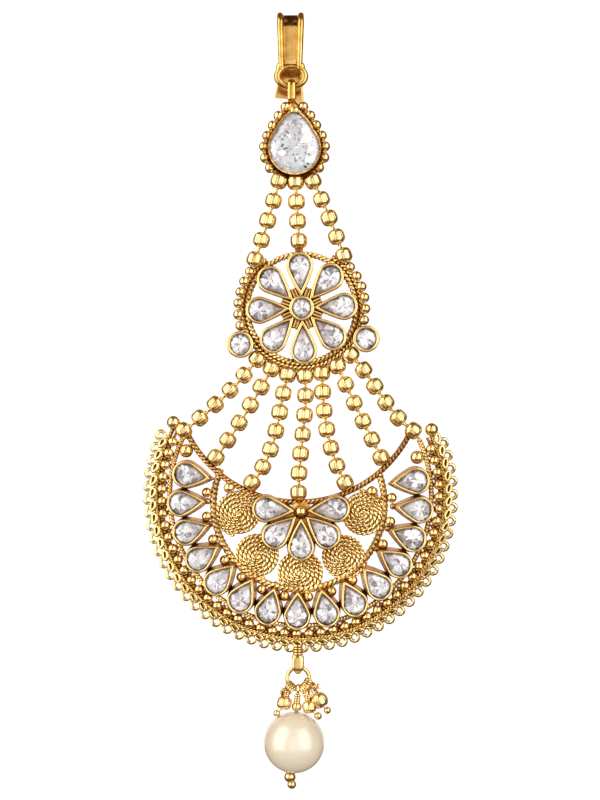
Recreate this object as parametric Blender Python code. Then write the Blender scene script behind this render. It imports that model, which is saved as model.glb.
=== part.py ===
"""Jhoomar: a head ornament that hangs from a folded hook. A pear setting, a round medallion and
a crescent are joined by ball chains, and a pearl hangs below from a jump ring.

The front faces -Y, +X is to the right in the front view, and +Z is up. The origin is
the inside of the hook's crown. Sizes are in millimetres and become metres in the meshes.
"""
import math

import bmesh
import bpy
from mathutils import Vector

MM = 0.001
STONE_GAP = 0.1          # between a stone and its bezel
LINK_GAP = 0.13          # between two linked wires
CHAIN_GAP = 0.1          # between a chain's last link and the soldered bead
SOLDER = 0.3             # how far soldered pieces run into each other

# Hook: a ribbed strap folded over, with a ring soldered under its front leg
STRAP_TOP_WIDTH = 4.57
STRAP_LOW_WIDTH = 3.93
STRAP_THICKNESS = 0.5
RIB_HEIGHT = 0.4
RIB_WIDTH = 1.1
CROWN_INNER_RADIUS = 1.6
FRONT_LEG_END = -8.2
BACK_LEG_END = -13.3
HOOK_RING_WIDTH = 5.6
HOOK_RING_HEIGHT = 4.25
HOOK_RING_WIRE = 0.83
HOOK_AXIS_Z = -11.47     # centre of the hook ring's bottom wire

# Depths of the hanging part, measured forwards from the crescent's flat back
BALANCE_DEPTH = 1.05     # the centre of mass, which hangs under the hook ring
CUP_BACK = 0.15
CUP_FLOOR = 0.8
CUP_FRONT = 2.4
STONE_TABLE_DEPTH = 1.95
BEAD_DEPTH = 1.3
WIRE_DEPTH = 0.9
HOOK_RING_Y = -(CROWN_INNER_RADIUS + STRAP_THICKNESS / 2)
BACK_Y = HOOK_RING_Y + BALANCE_DEPTH

# Chains of ball beads
BEAD_RADIUS = 1.37
BEAD_BARREL = 1.2
BEAD_HALF_LENGTH = 1.25
LINK_RADIUS = 0.27
BEAD_SIDES = 10
WIRE_SIDES = 5

# Top setting
BAIL_X = 0.2
BAIL_WIRE = 0.7
BAIL_LENGTH = 1.75
SETTING_CENTRE = (0.68, -21.98)
SETTING_RADIUS = 4.72
SETTING_TIP = 7.05
SETTING_WALL = 0.4
SETTING_FRONT = 3.2
SETTING_FLOOR = 1.0
TOP_STONE_GIRDLE = 2.2
TOP_STONE_TABLE = 2.9
GRAIN_RADIUS = 0.75
SETTING_BEADS = ((-1.92, -27.25), (0.83, -27.42), (3.75, -27.25))

# Round medallion
MEDALLION_CENTRE = (1.87, -48.43)
MEDALLION_LEAN = 2.6
PETALS = 8
PETAL_ORBIT = 7.08
PETAL_RADIUS = 2.25
PETAL_TIP = 5.2
BEZEL_WALL = 0.5
CENTRE_BEZEL_RADIUS = 2.1
SIDE_BEZEL_RADIUS = 2.22
SIDE_BEZEL_ORBIT = 11.85
SIDE_BEZEL_ANGLE = 62.0
ROPE_RING_RADIUS = 9.0
ROPE_RING_WIRE = 0.83
PLATE_INNER = 9.0
PLATE_OUTER = 10.45
PLATE_BACK = 0.4
PLATE_FRONT = 1.0
PLATE_HALF_ANGLE = 147.0
PLATE_TOP_HALF_ANGLE = 7.0
GRAIN_ARC_RADIUS = 10.45
GRAIN_ARC_START = 72.0
GRAIN_ARC_END = 131.0
GRAIN_ARC_WIRE = 1.6
MEDALLION_BEAD_ORBIT = 11.25
MEDALLION_BEAD_STEP = 14.6
MEDALLION_TOP_ANGLES = (-139.0, 180.0, 139.0)

# Crescent
CRESCENT_CENTRE = (1.67, -79.5)
CRESCENT_LEAN = -1.6
BAND_INNER = 21.67
BAND_OUTER = 24.3
BAND_DEPTH = 1.3
BAND_HALF_ANGLE = 117.5
RIM_WIDTH = 0.45
GROOVE_DEPTH = 0.6
RIDGE_RADIUS = 0.65
RIDGE_TOP = 1.55
LACE_OUTER = 26.15
LACE_HALF_ANGLE = 111.5
LACE_BACK = 0.25
LACE_FRONT = 0.95
PEARS = 15
PEAR_STEP = 14.1
PEAR_ORBIT = 19.95
PEAR_END_ORBIT = 19.7
PEAR_RADIUS = 2.22
PEAR_TIP = 4.2
ROPE_ARC_CENTRE = (1.42, -81.0)
ROPE_ARC_RADIUS = 14.25
ROPE_ARC_WIRE = 1.08
ROPE_ARC_HALF_ANGLE = 112.0
INNER_BEAD_ORBIT = 15.35
INNER_BEAD_STEP = 14.7
INNER_BEAD_PLACES = 14
INNER_BEAD_MISSING = 10
INNER_BEAD_RADIUS = 0.85
BAR_CENTRE = (1.33, -60.0)
BAR_RADIUS = 20.67
BAR_WIDTH = 0.92
BAR_BACK = 0.2
BAR_FRONT = 1.6
BAR_HALF_ANGLE = 65.5
CRESCENT_BEAD_ANGLES = (-65.4, -46.1, -24.0, 0.0, 24.0, 46.1, 65.4)
CRESCENT_BEAD_ORBIT = 19.05
CRESCENT_END_BEAD_ORBIT = 21.0
CORNER_BEADS = ((20.75, 109.6, 1.15), (11.95, 94.4, 0.95), (24.4, 118.2, 1.12))

# Spirals of rope, and the raised fan of stones over them
FAN_CENTRE = (1.75, -82.17)
SPIRALS = 5
SPIRAL_ORBIT = 10.5
SPIRAL_STEP = 44.0
SPIRAL_RADIUS = 3.65
SPIRAL_BACK = 0.3
SPIRAL_EDGE = 1.0
SPIRAL_TOP = 1.35
FAN_STONES = 5
FAN_ORBIT = 5.92
FAN_STEP = 47.3
FAN_RADIUS = 2.18
FAN_TIP = 4.85
FAN_BACK = 0.95
FAN_FLOOR = 1.6
FAN_FRONT = 3.2
FAN_TABLE = 2.8
FAN_BEAD_RADIUS = 0.88
FAN_BEAD_DEPTH = 2.3
FAN_BASE_RADIUS = 1.9
FAN_BASE_BACK = 1.1
FAN_BASE_FRONT = 1.9

# Pearl drop
EYE_X = 1.23
EYE_AXIS_Z = -109.0      # centre of the eye's bottom wire
EYE_WIRE = 0.65
EYE_HALF_WIDTH = 0.95
EYE_LENGTH = 1.75
EYE_DEPTH = 0.9
EYE_COLLAR_RADIUS = 0.85
EYE_COLLAR = (-106.6, -104.4)
JUMP_RING_RADIUS = 1.84
JUMP_RING_WIRE = 0.78
JUMP_RING_CENTRE_Z = -110.05
PIN_WIRE = 0.5
PIN_LEAN = -0.62         # how far the pearl hangs to the left of its loop
PEARL_Z = -120.7
PEARL_RADIUS = 4.9
PEARL_BORE_RADIUS = 0.4
PIN_BEADS = ((-114.75, 0.83), (-126.55, 0.85), (-127.75, 0.7))
CLUSTER_WIRE = 0.4
CLUSTER_LOOP_ANGLE = 45.0
# x from the eye, z, radius of each bead, in the order they are strung
CLUSTER_LEFT = ((-2.22, -114.07, 1.12), (-3.57, -115.42, 0.58))
CLUSTER_RIGHT = ((2.02, -114.67, 1.08), (3.72, -113.62, 1.08), (4.9, -115.4, 0.58), (3.4, -116.25, 0.62))

# Chain table: name, beads with both soldered ends, sideways sway at one third and two thirds
UPPER_CHAINS = (
    ("upper_left", 5, 0.1, 0.1),
    ("upper_middle", 4, 0.0, 0.0),
    ("upper_right", 5, 0.15, 0.1),
)
LOWER_CHAINS = (
    ("lower_1", 6, 0.5, 0.5),
    ("lower_2", 6, 0.2, 0.2),
    ("lower_3", 7, 0.7, 1.2),
    ("lower_4", 7, 0.3, 0.0),
    ("lower_5", 7, -0.9, -1.1),
    ("lower_6", 6, -0.1, -0.1),
    ("lower_7", 6, -0.1, -0.6),
)

GOLD = ("antique_gold", (0.72, 0.47, 0.15), 0.3, 1.0)
CRYSTAL = ("cut_glass", (0.86, 0.84, 0.88), 0.08, 0.0)
PEARL = ("cream_pearl", (0.86, 0.74, 0.56), 0.2, 0.0)


SIDEWAYS = Vector((1, 0, 0))
BACKWARDS = Vector((0, 1, 0))


def clear_scene():
    for item in list(bpy.data.objects):
        bpy.data.objects.remove(item, do_unlink=True)


def material(spec, node):
    """A finish of the node's own: base colour, roughness and metallic value."""
    label, colour, roughness, metallic = spec
    made = bpy.data.materials.new(f"{label}_{node}")
    made.use_nodes = True
    shader = made.node_tree.nodes["Principled BSDF"]
    shader.inputs["Base Color"].default_value = (*colour, 1.0)
    shader.inputs["Roughness"].default_value = roughness
    shader.inputs["Metallic"].default_value = metallic
    return made


def polar(centre, radius, degrees):
    """A point on a circle seen from the front: 0 degrees is straight down, positive to the right."""
    angle = math.radians(degrees)
    return (centre[0] + radius * math.sin(angle), centre[1] - radius * math.cos(angle))


def at_depth(point, depth):
    """A front view point as a 3D point, a depth in front of the crescent's flat back."""
    return Vector((point[0], BACK_Y - depth, point[1]))


def spread(count, step, lean=0.0):
    """Evenly stepped angles about the middle, from left to right."""
    return [lean + step * (index - (count - 1) / 2) for index in range(count)]


def mesh_object(name, bm):
    """Close the work on a mesh: faces outwards, sizes to metres, linked to the scene."""
    bmesh.ops.recalc_face_normals(bm, faces=bm.faces)
    if bm.calc_volume(signed=True) < 0:
        bmesh.ops.reverse_faces(bm, faces=bm.faces)
    bmesh.ops.scale(bm, vec=(MM, MM, MM), verts=bm.verts)
    mesh = bpy.data.meshes.new(name)
    bm.to_mesh(mesh)
    bm.free()
    made = bpy.data.objects.new(name, mesh)
    bpy.context.scene.collection.objects.link(made)
    return made


def loft(rings, closed=False):
    """Join rings of points into one closed body, with flat caps unless the rings close on themselves."""
    bm = bmesh.new()
    rows = [[bm.verts.new(point) for point in ring] for ring in rings]
    pairs = list(zip(rows, rows[1:]))
    if closed:
        pairs.append((rows[-1], rows[0]))
    for low, high in pairs:
        for index in range(len(low)):
            after = (index + 1) % len(low)
            bm.faces.new((low[index], low[after], high[after], high[index]))
    if not closed:
        bm.faces.new(rows[0][::-1])
        bm.faces.new(rows[-1])
    return mesh_object("piece", bm)


def circle(centre, radius, sides=12):
    return [polar(centre, radius, 360.0 * index / sides) for index in range(sides)]


def teardrop(centre, radius, tip, degrees, steps=8, bulge=0.0):
    """A pear outline: a round end about its centre and a tip at a distance, turned by an angle.

    At 0 degrees the tip points straight up. The sides bow outwards by the bulge.
    """
    half = math.asin(radius / tip)
    points = []
    for index in range(steps + 1):
        angle = -(math.pi / 2 + half) + index * (math.pi + 2 * half) / steps
        points.append((radius * math.sin(angle), -radius * math.cos(angle)))
    side = (points[-1][0] / 2 + bulge * math.cos(half), (points[-1][1] + tip) / 2 + bulge * math.sin(half))
    if bulge:
        points.append(side)
    points.append((0.0, tip))
    if bulge:
        points.append((-side[0], side[1]))
    turn = math.radians(degrees)
    cosine, sine = math.cos(turn), math.sin(turn)
    return [(centre[0] + x * cosine - z * sine, centre[1] + x * sine + z * cosine) for x, z in points]


def scaled(outline, centre, factor):
    return [(centre[0] + (x - centre[0]) * factor, centre[1] + (z - centre[1]) * factor) for x, z in outline]


def slab(levels):
    """A closed body from front view outlines, each at its own depth."""
    return loft([[at_depth(point, depth) for point in outline] for outline, depth in levels])


def cup(outline, centre, radius, back, floor, front, wall=BEZEL_WALL):
    """A bezel with a closed back: an even wall round a flat floor."""
    inner = scaled(outline, centre, (radius - wall) / radius)
    return slab(((outline, back), (outline, front), (inner, front), (inner, floor)))


def cut_stone(name, outline, centre, radius, floor, table, wall=BEZEL_WALL):
    """A stone with slanting facets up to a flat table, a gap clear of its bezel."""
    girdle = scaled(outline, centre, (radius - wall - STONE_GAP) / radius)
    top = scaled(outline, centre, 0.55 * (radius - wall) / radius)
    made = slab(((girdle, floor + STONE_GAP), (top, table)))
    return finish(made, name, CRYSTAL, smooth=False)


def ball(centre, radius, rings=4):
    bm = bmesh.new()
    bmesh.ops.create_uvsphere(bm, u_segments=BEAD_SIDES, v_segments=rings, radius=radius)
    turn = [Vector((vert.co.x, vert.co.z, vert.co.y)) for vert in bm.verts]
    for vert, place in zip(bm.verts, turn):
        vert.co = place + centre
    return mesh_object("ball", bm)


def tube(path, radii, sides=WIRE_SIDES, closed=False, across=BACKWARDS):
    """A round wire along a path that lies in one plane; across is the plane's normal."""
    rings = []
    count = len(path)
    for index, place in enumerate(path):
        before = path[(index - 1) % count] if closed or index else place
        after = path[(index + 1) % count] if closed or index + 1 < count else place
        along = (after - before).normalized()
        side = along.cross(across).normalized()
        ring = []
        for step in range(sides):
            angle = math.tau * step / sides
            ring.append(place + radii[index] * (math.cos(angle) * side + math.sin(angle) * across))
        rings.append(ring)
    return loft(rings, closed)


def wire(path, diameter, sides=WIRE_SIDES, closed=False, across=BACKWARDS):
    return tube(path, [diameter / 2] * len(path), sides, closed, across)


def arc_path(centre, radius, start, end, steps, depth):
    angles = [start + (end - start) * index / steps for index in range(steps + 1)]
    return [at_depth(polar(centre, radius, angle), depth) for angle in angles]


def strip(inner, outer, back, front):
    """A rectangular profile of radius and depth pairs."""
    return ((inner, back), (outer, back), (outer, front), (inner, front))


def swept_arc(centre, profile, half_angle, steps, lean=0.0):
    """A profile of radius and depth pairs carried along an arc on both sides of its middle."""
    rings = []
    for index in range(steps + 1):
        angle = lean - half_angle + 2 * half_angle * index / steps
        rings.append([at_depth(polar(centre, radius, angle), depth) for radius, depth in profile])
    return loft(rings)


def side_loop(x, y, top, bottom, radius, steps=6):
    """An upright oblong loop seen edge on from the front: two half circles about two heights."""
    path = []
    for index in range(steps + 1):
        angle = math.pi * index / steps
        path.append(Vector((x, y + radius * math.cos(angle), top + radius * math.sin(angle))))
    for index in range(steps + 1):
        angle = math.pi + math.pi * index / steps
        path.append(Vector((x, y + radius * math.cos(angle), bottom + radius * math.sin(angle))))
    return path


def finish(made, name, spec, smooth=True):
    made.name = name
    made.data.name = name
    made.data.materials.clear()
    made.data.materials.append(material(spec, name))
    if smooth:
        made.data.shade_smooth()
        made.data.set_sharp_from_angle(angle=math.radians(40))
    return made


def solder(name, pieces, spec=GOLD):
    """Join overlapping pieces into one body with an exact union."""
    body = pieces[0]
    rest = bpy.data.collections.new(f"{name}_pieces")
    for piece in pieces[1:]:
        rest.objects.link(piece)
    join = body.modifiers.new("solder", "BOOLEAN")
    join.operation = "UNION"
    join.solver = "EXACT"
    join.operand_type = "COLLECTION"
    join.collection = rest
    graph = bpy.context.evaluated_depsgraph_get()
    mesh = bpy.data.meshes.new_from_object(body.evaluated_get(graph))
    made = bpy.data.objects.new(name, mesh)
    bpy.context.scene.collection.objects.link(made)
    for piece in pieces:
        bpy.data.objects.remove(piece, do_unlink=True)
    bpy.data.collections.remove(rest)
    return finish(made, name, spec)


def bowed_route(start, end, first_sway, second_sway, samples=60):
    """A smooth front view curve from start to end that passes two swayed points at its thirds."""
    run = Vector(end) - Vector(start)
    side = Vector((-run[1], run[0])).normalized()
    knots = [
        Vector(start),
        Vector(start) + run / 3 + side * first_sway,
        Vector(start) + run * 2 / 3 + side * second_sway,
        Vector(end),
    ]
    route = []
    for index in range(samples + 1):
        place = 3 * index / samples
        point = Vector((0, 0))
        for this, knot in enumerate(knots):
            weight = 1.0
            for other in range(4):
                if other != this:
                    weight *= (place - other) / (this - other)
            point += weight * knot
        route.append(point)
    return route


def along_route(route, distance):
    """The point at a distance along a route."""
    left = distance
    for start, end in zip(route, route[1:]):
        length = (end - start).length
        if left <= length:
            return start + (end - start) * (left / length)
        left -= length
    return route[-1]


def route_length(route):
    return sum((end - start).length for start, end in zip(route, route[1:]))


def chain(name, start, end, beads, first_sway, second_sway):
    """The free beads of one chain on their link wire, between the two soldered beads."""
    route = bowed_route(start, end, first_sway, second_sway)
    length = route_length(route)
    pitch = length / (beads - 1)
    clear = BEAD_RADIUS + CHAIN_GAP
    stations = [(clear, LINK_RADIUS)]
    for index in range(1, beads - 1):
        middle = pitch * index
        stations.append((middle - BEAD_HALF_LENGTH, LINK_RADIUS))
        stations.append((middle - BEAD_BARREL / 2, BEAD_RADIUS))
        stations.append((middle + BEAD_BARREL / 2, BEAD_RADIUS))
        stations.append((middle + BEAD_HALF_LENGTH, LINK_RADIUS))
    stations.append((length - clear, LINK_RADIUS))
    path = [at_depth(along_route(route, distance), BEAD_DEPTH) for distance, _ in stations]
    radii = [radius for _, radius in stations]
    return finish(tube(path, radii, BEAD_SIDES), f"chain_{name}", GOLD)


def soldered_beads(centres):
    return [ball(at_depth(centre, BEAD_DEPTH), BEAD_RADIUS) for centre in centres]


def hook():
    """The ribbed strap, folded over its crown, and the ring under its front leg."""
    stations = [(-CROWN_INNER_RADIUS, FRONT_LEG_END, (0, -1, 0))]
    for index in range(9):
        angle = math.pi * index / 8
        outwards = (0, -math.cos(angle), math.sin(angle))
        height = CROWN_INNER_RADIUS * (math.sin(angle) - 1)
        stations.append((-CROWN_INNER_RADIUS * math.cos(angle), height, outwards))
    stations.append((CROWN_INNER_RADIUS, BACK_LEG_END, (0, 1, 0)))
    slope = (STRAP_TOP_WIDTH - STRAP_LOW_WIDTH) / (0 - FRONT_LEG_END)
    rings = []
    for y, z, outwards in stations:
        half = (STRAP_TOP_WIDTH + slope * max(z, FRONT_LEG_END)) / 2
        flat = STRAP_THICKNESS
        crest = STRAP_THICKNESS + RIB_HEIGHT
        inside = half - RIB_WIDTH
        profile = (
            (-half, 0), (half, 0), (half, flat), (half - RIB_WIDTH / 2, crest), (inside, flat),
            (-inside, flat), (RIB_WIDTH / 2 - half, crest), (-half, flat),
        )
        base = Vector((0, y, z))
        rings.append([base + Vector((x, 0, 0)) + Vector(outwards) * lift for x, lift in profile])
    strap = loft(rings)
    centre_z = HOOK_AXIS_Z + (HOOK_RING_HEIGHT - HOOK_RING_WIRE) / 2
    path = []
    for index in range(16):
        angle = math.tau * index / 16
        x = (HOOK_RING_WIDTH - HOOK_RING_WIRE) / 2 * math.sin(angle)
        z = centre_z - (HOOK_RING_HEIGHT - HOOK_RING_WIRE) / 2 * math.cos(angle)
        path.append(Vector((x, HOOK_RING_Y, z)))
    return solder("hook", [strap, wire(path, HOOK_RING_WIRE, closed=True)])


def setting_outline(extra=0.0, steps=14):
    """The top setting's pear outline, grown by a margin."""
    grown = (SETTING_RADIUS + extra) / SETTING_RADIUS
    return teardrop(SETTING_CENTRE, SETTING_RADIUS * grown, SETTING_TIP * grown, 0, steps, bulge=0.3)


def pear_setting():
    outline = setting_outline()
    depths = (CUP_BACK, SETTING_FLOOR, SETTING_FRONT)
    pieces = [cup(outline, SETTING_CENTRE, SETTING_RADIUS, *depths, SETTING_WALL)]
    rim = [at_depth(point, WIRE_DEPTH) for point in setting_outline(GRAIN_RADIUS * 0.6)]
    pieces.append(wire(rim, GRAIN_RADIUS * 2, closed=True))
    radius = HOOK_RING_WIRE / 2 + LINK_GAP + BAIL_WIRE / 2
    loop = side_loop(BAIL_X, HOOK_RING_Y, HOOK_AXIS_Z, HOOK_AXIS_Z - BAIL_LENGTH, radius)
    pieces.append(wire(loop, BAIL_WIRE, closed=True, across=SIDEWAYS))
    pieces += soldered_beads(SETTING_BEADS)
    return solder("pear_setting", pieces)


def top_stone():
    """The large pear stone, with a girdle, slanting facets and a table."""
    outline = setting_outline()
    full = (SETTING_RADIUS - SETTING_WALL - STONE_GAP) / SETTING_RADIUS
    levels = (
        (scaled(outline, SETTING_CENTRE, full * 0.55), SETTING_FLOOR + STONE_GAP),
        (scaled(outline, SETTING_CENTRE, full), TOP_STONE_GIRDLE),
        (scaled(outline, SETTING_CENTRE, full * 0.6), TOP_STONE_TABLE),
    )
    return finish(slab(levels), "top_stone", CRYSTAL, smooth=False)


def petal(index):
    """The outline and centre of one petal of the medallion, its tip towards the middle."""
    angle = MEDALLION_LEAN + 360.0 * index / PETALS
    centre = polar(MEDALLION_CENTRE, PETAL_ORBIT, angle)
    return teardrop(centre, PETAL_RADIUS, PETAL_TIP, angle), centre


def side_bezel_centres():
    angles = (MEDALLION_LEAN - SIDE_BEZEL_ANGLE, MEDALLION_LEAN + SIDE_BEZEL_ANGLE)
    return [polar(MEDALLION_CENTRE, SIDE_BEZEL_ORBIT, angle) for angle in angles]


def medallion_top_beads():
    angles = [MEDALLION_LEAN + angle for angle in MEDALLION_TOP_ANGLES]
    return [polar(MEDALLION_CENTRE, MEDALLION_BEAD_ORBIT, angle) for angle in angles]


def medallion_low_beads():
    angles = spread(len(LOWER_CHAINS), MEDALLION_BEAD_STEP, MEDALLION_LEAN)
    return [polar(MEDALLION_CENTRE, MEDALLION_BEAD_ORBIT, angle) for angle in angles]


def medallion_frame():
    ring = arc_path(MEDALLION_CENTRE, ROPE_RING_RADIUS, 0, 360, 24, WIRE_DEPTH)[:-1]
    pieces = [wire(ring, ROPE_RING_WIRE, closed=True)]
    plate = strip(PLATE_INNER, PLATE_OUTER, PLATE_BACK, PLATE_FRONT)
    pieces.append(swept_arc(MEDALLION_CENTRE, plate, PLATE_HALF_ANGLE, 20, MEDALLION_LEAN))
    pieces.append(swept_arc(MEDALLION_CENTRE, plate, PLATE_TOP_HALF_ANGLE, 1, MEDALLION_LEAN + 180))
    centre = circle(MEDALLION_CENTRE, CENTRE_BEZEL_RADIUS)
    pieces.append(cup(centre, MEDALLION_CENTRE, CENTRE_BEZEL_RADIUS, CUP_BACK, CUP_FLOOR, CUP_FRONT + 0.15))
    for index in range(PETALS):
        outline, middle = petal(index)
        pieces.append(cup(outline, middle, PETAL_RADIUS, CUP_BACK, CUP_FLOOR, CUP_FRONT))
    for middle in side_bezel_centres():
        edge = circle(middle, SIDE_BEZEL_RADIUS)
        pieces.append(cup(edge, middle, SIDE_BEZEL_RADIUS, CUP_BACK, CUP_FLOOR, CUP_FRONT))
    for side in (-1, 1):
        start = MEDALLION_LEAN + side * GRAIN_ARC_START
        end = MEDALLION_LEAN + side * GRAIN_ARC_END
        arc = arc_path(MEDALLION_CENTRE, GRAIN_ARC_RADIUS, start, end, 7, WIRE_DEPTH)
        pieces.append(wire(arc, GRAIN_ARC_WIRE))
    pieces += soldered_beads(medallion_top_beads() + medallion_low_beads())
    return solder("medallion_frame", pieces)


def medallion_stones():
    for index in range(PETALS):
        outline, centre = petal(index)
        cut_stone(f"petal_stone_{index + 1}", outline, centre, PETAL_RADIUS, CUP_FLOOR, STONE_TABLE_DEPTH)
    outline = circle(MEDALLION_CENTRE, CENTRE_BEZEL_RADIUS)
    cut_stone("centre_stone", outline, MEDALLION_CENTRE, CENTRE_BEZEL_RADIUS, CUP_FLOOR, STONE_TABLE_DEPTH)
    for side, centre in zip(("left", "right"), side_bezel_centres()):
        outline = circle(centre, SIDE_BEZEL_RADIUS)
        cut_stone(f"side_stone_{side}", outline, centre, SIDE_BEZEL_RADIUS, CUP_FLOOR, STONE_TABLE_DEPTH)


def crescent_pear(index):
    angle = spread(PEARS, PEAR_STEP, CRESCENT_LEAN)[index]
    orbit = PEAR_END_ORBIT if index in (0, PEARS - 1) else PEAR_ORBIT
    centre = polar(CRESCENT_CENTRE, orbit, angle)
    return teardrop(centre, PEAR_RADIUS, PEAR_TIP, angle), centre


def fan_pear(index):
    angle = spread(FAN_STONES, FAN_STEP)[index]
    centre = polar(FAN_CENTRE, FAN_ORBIT, angle)
    return teardrop(centre, FAN_RADIUS, FAN_TIP, angle), centre


def crescent_beads():
    beads = []
    last = len(CRESCENT_BEAD_ANGLES) - 1
    for index, angle in enumerate(CRESCENT_BEAD_ANGLES):
        orbit = CRESCENT_END_BEAD_ORBIT if index in (0, last) else CRESCENT_BEAD_ORBIT
        beads.append(polar(BAR_CENTRE, orbit, angle))
    return beads


def crescent_band():
    """The channel of the rim, with the row of grains raised in it as one ridge."""
    middle = (BAND_INNER + BAND_OUTER) / 2
    profile = (
        (BAND_INNER, 0), (BAND_OUTER, 0), (BAND_OUTER, BAND_DEPTH), (BAND_OUTER - RIM_WIDTH, BAND_DEPTH),
        (middle + RIDGE_RADIUS, GROOVE_DEPTH), (middle + RIDGE_RADIUS / 2, RIDGE_TOP),
        (middle - RIDGE_RADIUS / 2, RIDGE_TOP), (middle - RIDGE_RADIUS, GROOVE_DEPTH),
        (BAND_INNER + RIM_WIDTH, BAND_DEPTH), (BAND_INNER, BAND_DEPTH),
    )
    return swept_arc(CRESCENT_CENTRE, profile, BAND_HALF_ANGLE, 26, CRESCENT_LEAN)


def lace_border():
    """The strip that the border of small loops lies on, soldered round the channel."""
    inner = BAND_OUTER - SOLDER
    profile = strip(inner, LACE_OUTER, LACE_BACK, LACE_FRONT)
    return swept_arc(CRESCENT_CENTRE, profile, LACE_HALF_ANGLE, 26, CRESCENT_LEAN)


def spiral_disc(index):
    """The low dome that a flat spiral of rope covers."""
    angle = spread(SPIRALS, SPIRAL_STEP)[index]
    centre = polar(FAN_CENTRE, SPIRAL_ORBIT, angle)
    edge = circle(centre, SPIRAL_RADIUS)
    top = scaled(edge, centre, 0.45)
    return slab(((edge, SPIRAL_BACK), (edge, SPIRAL_EDGE), (top, SPIRAL_TOP)))


def crescent_frame():
    pieces = [crescent_band(), lace_border()]
    half = BAR_WIDTH / 2
    bar = strip(BAR_RADIUS - half, BAR_RADIUS + half, BAR_BACK, BAR_FRONT)
    pieces.append(swept_arc(BAR_CENTRE, bar, BAR_HALF_ANGLE, 20))
    rope = arc_path(
        ROPE_ARC_CENTRE, ROPE_ARC_RADIUS, CRESCENT_LEAN - ROPE_ARC_HALF_ANGLE,
        CRESCENT_LEAN + ROPE_ARC_HALF_ANGLE, 22, WIRE_DEPTH,
    )
    pieces.append(wire(rope, ROPE_ARC_WIRE))
    for index in range(PEARS):
        outline, centre = crescent_pear(index)
        pieces.append(cup(outline, centre, PEAR_RADIUS, CUP_BACK, CUP_FLOOR, CUP_FRONT))
    for place, angle in enumerate(spread(INNER_BEAD_PLACES, INNER_BEAD_STEP, CRESCENT_LEAN)):
        if place != INNER_BEAD_MISSING:
            centre = polar(ROPE_ARC_CENTRE, INNER_BEAD_ORBIT, angle)
            pieces.append(ball(at_depth(centre, WIRE_DEPTH + 0.1), INNER_BEAD_RADIUS))
    for orbit, angle, radius in CORNER_BEADS:
        for side in (-1, 1):
            centre = polar(CRESCENT_CENTRE, orbit, CRESCENT_LEAN + side * angle)
            pieces.append(ball(at_depth(centre, WIRE_DEPTH + 0.2), radius))
    pieces += [spiral_disc(index) for index in range(SPIRALS)]
    for index in range(FAN_STONES):
        outline, centre = fan_pear(index)
        pieces.append(cup(outline, centre, FAN_RADIUS, FAN_BACK, FAN_FLOOR, FAN_FRONT))
    base = circle(FAN_CENTRE, FAN_BASE_RADIUS)
    pieces.append(slab(((base, FAN_BASE_BACK), (base, FAN_BASE_FRONT))))
    pieces.append(ball(at_depth(FAN_CENTRE, FAN_BEAD_DEPTH), FAN_BEAD_RADIUS))
    pieces += soldered_beads(crescent_beads())
    pieces += drop_eye()
    return solder("crescent_frame", pieces)


def drop_eye():
    """The upright loop under the crescent, with its collar."""
    y = BACK_Y - EYE_DEPTH
    low = EYE_AXIS_Z + EYE_HALF_WIDTH
    loop = side_loop(EYE_X, y, low + EYE_LENGTH, low, EYE_HALF_WIDTH)
    rings = []
    for height in EYE_COLLAR:
        ring = []
        for index in range(BEAD_SIDES):
            angle = math.tau * index / BEAD_SIDES
            reach = EYE_COLLAR_RADIUS * Vector((math.cos(angle), math.sin(angle), 0))
            ring.append(Vector((EYE_X, y, height)) + reach)
        rings.append(ring)
    return [wire(loop, EYE_WIRE, closed=True, across=SIDEWAYS), loft(rings)]


def crescent_stones():
    for index in range(PEARS):
        outline, centre = crescent_pear(index)
        name = f"crescent_stone_{index + 1:02d}"
        cut_stone(name, outline, centre, PEAR_RADIUS, CUP_FLOOR, STONE_TABLE_DEPTH)
    for index in range(FAN_STONES):
        outline, centre = fan_pear(index)
        cut_stone(f"fan_stone_{index + 1}", outline, centre, FAN_RADIUS, FAN_FLOOR, FAN_TABLE)


def jump_ring():
    path = arc_path((EYE_X, JUMP_RING_CENTRE_Z), JUMP_RING_RADIUS, 0, 360, 16, EYE_DEPTH)[:-1]
    return finish(wire(path, JUMP_RING_WIRE, closed=True), "jump_ring", GOLD)


def drop_axis():
    """The centre of the jump ring's bottom wire, where the pearl's pin hangs."""
    return Vector((EYE_X, BACK_Y - EYE_DEPTH, JUMP_RING_CENTRE_Z - JUMP_RING_RADIUS))


def pin_point(z):
    """The pin's centre line at a height: it leans towards the pearl."""
    top = drop_axis()
    return Vector((top.x + PIN_LEAN * (z - top.z) / (PEARL_Z - top.z), top.y, z))


def drop_pin():
    """The headpin: a loop round the jump ring, the shaft through the pearl, and its small beads."""
    top = drop_axis()
    radius = JUMP_RING_WIRE / 2 + LINK_GAP + PIN_WIRE / 2
    loop = side_loop(top.x, top.y, top.z, top.z, radius)
    loop = loop[:6] + loop[7:13]
    pieces = [wire(loop, PIN_WIRE, closed=True, across=SIDEWAYS)]
    pieces.append(wire([pin_point(top.z - radius), pin_point(PIN_BEADS[-1][0])], PIN_WIRE))
    pieces += [ball(pin_point(z), bead_radius) for z, bead_radius in PIN_BEADS]
    return solder("drop_pin", pieces)


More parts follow.
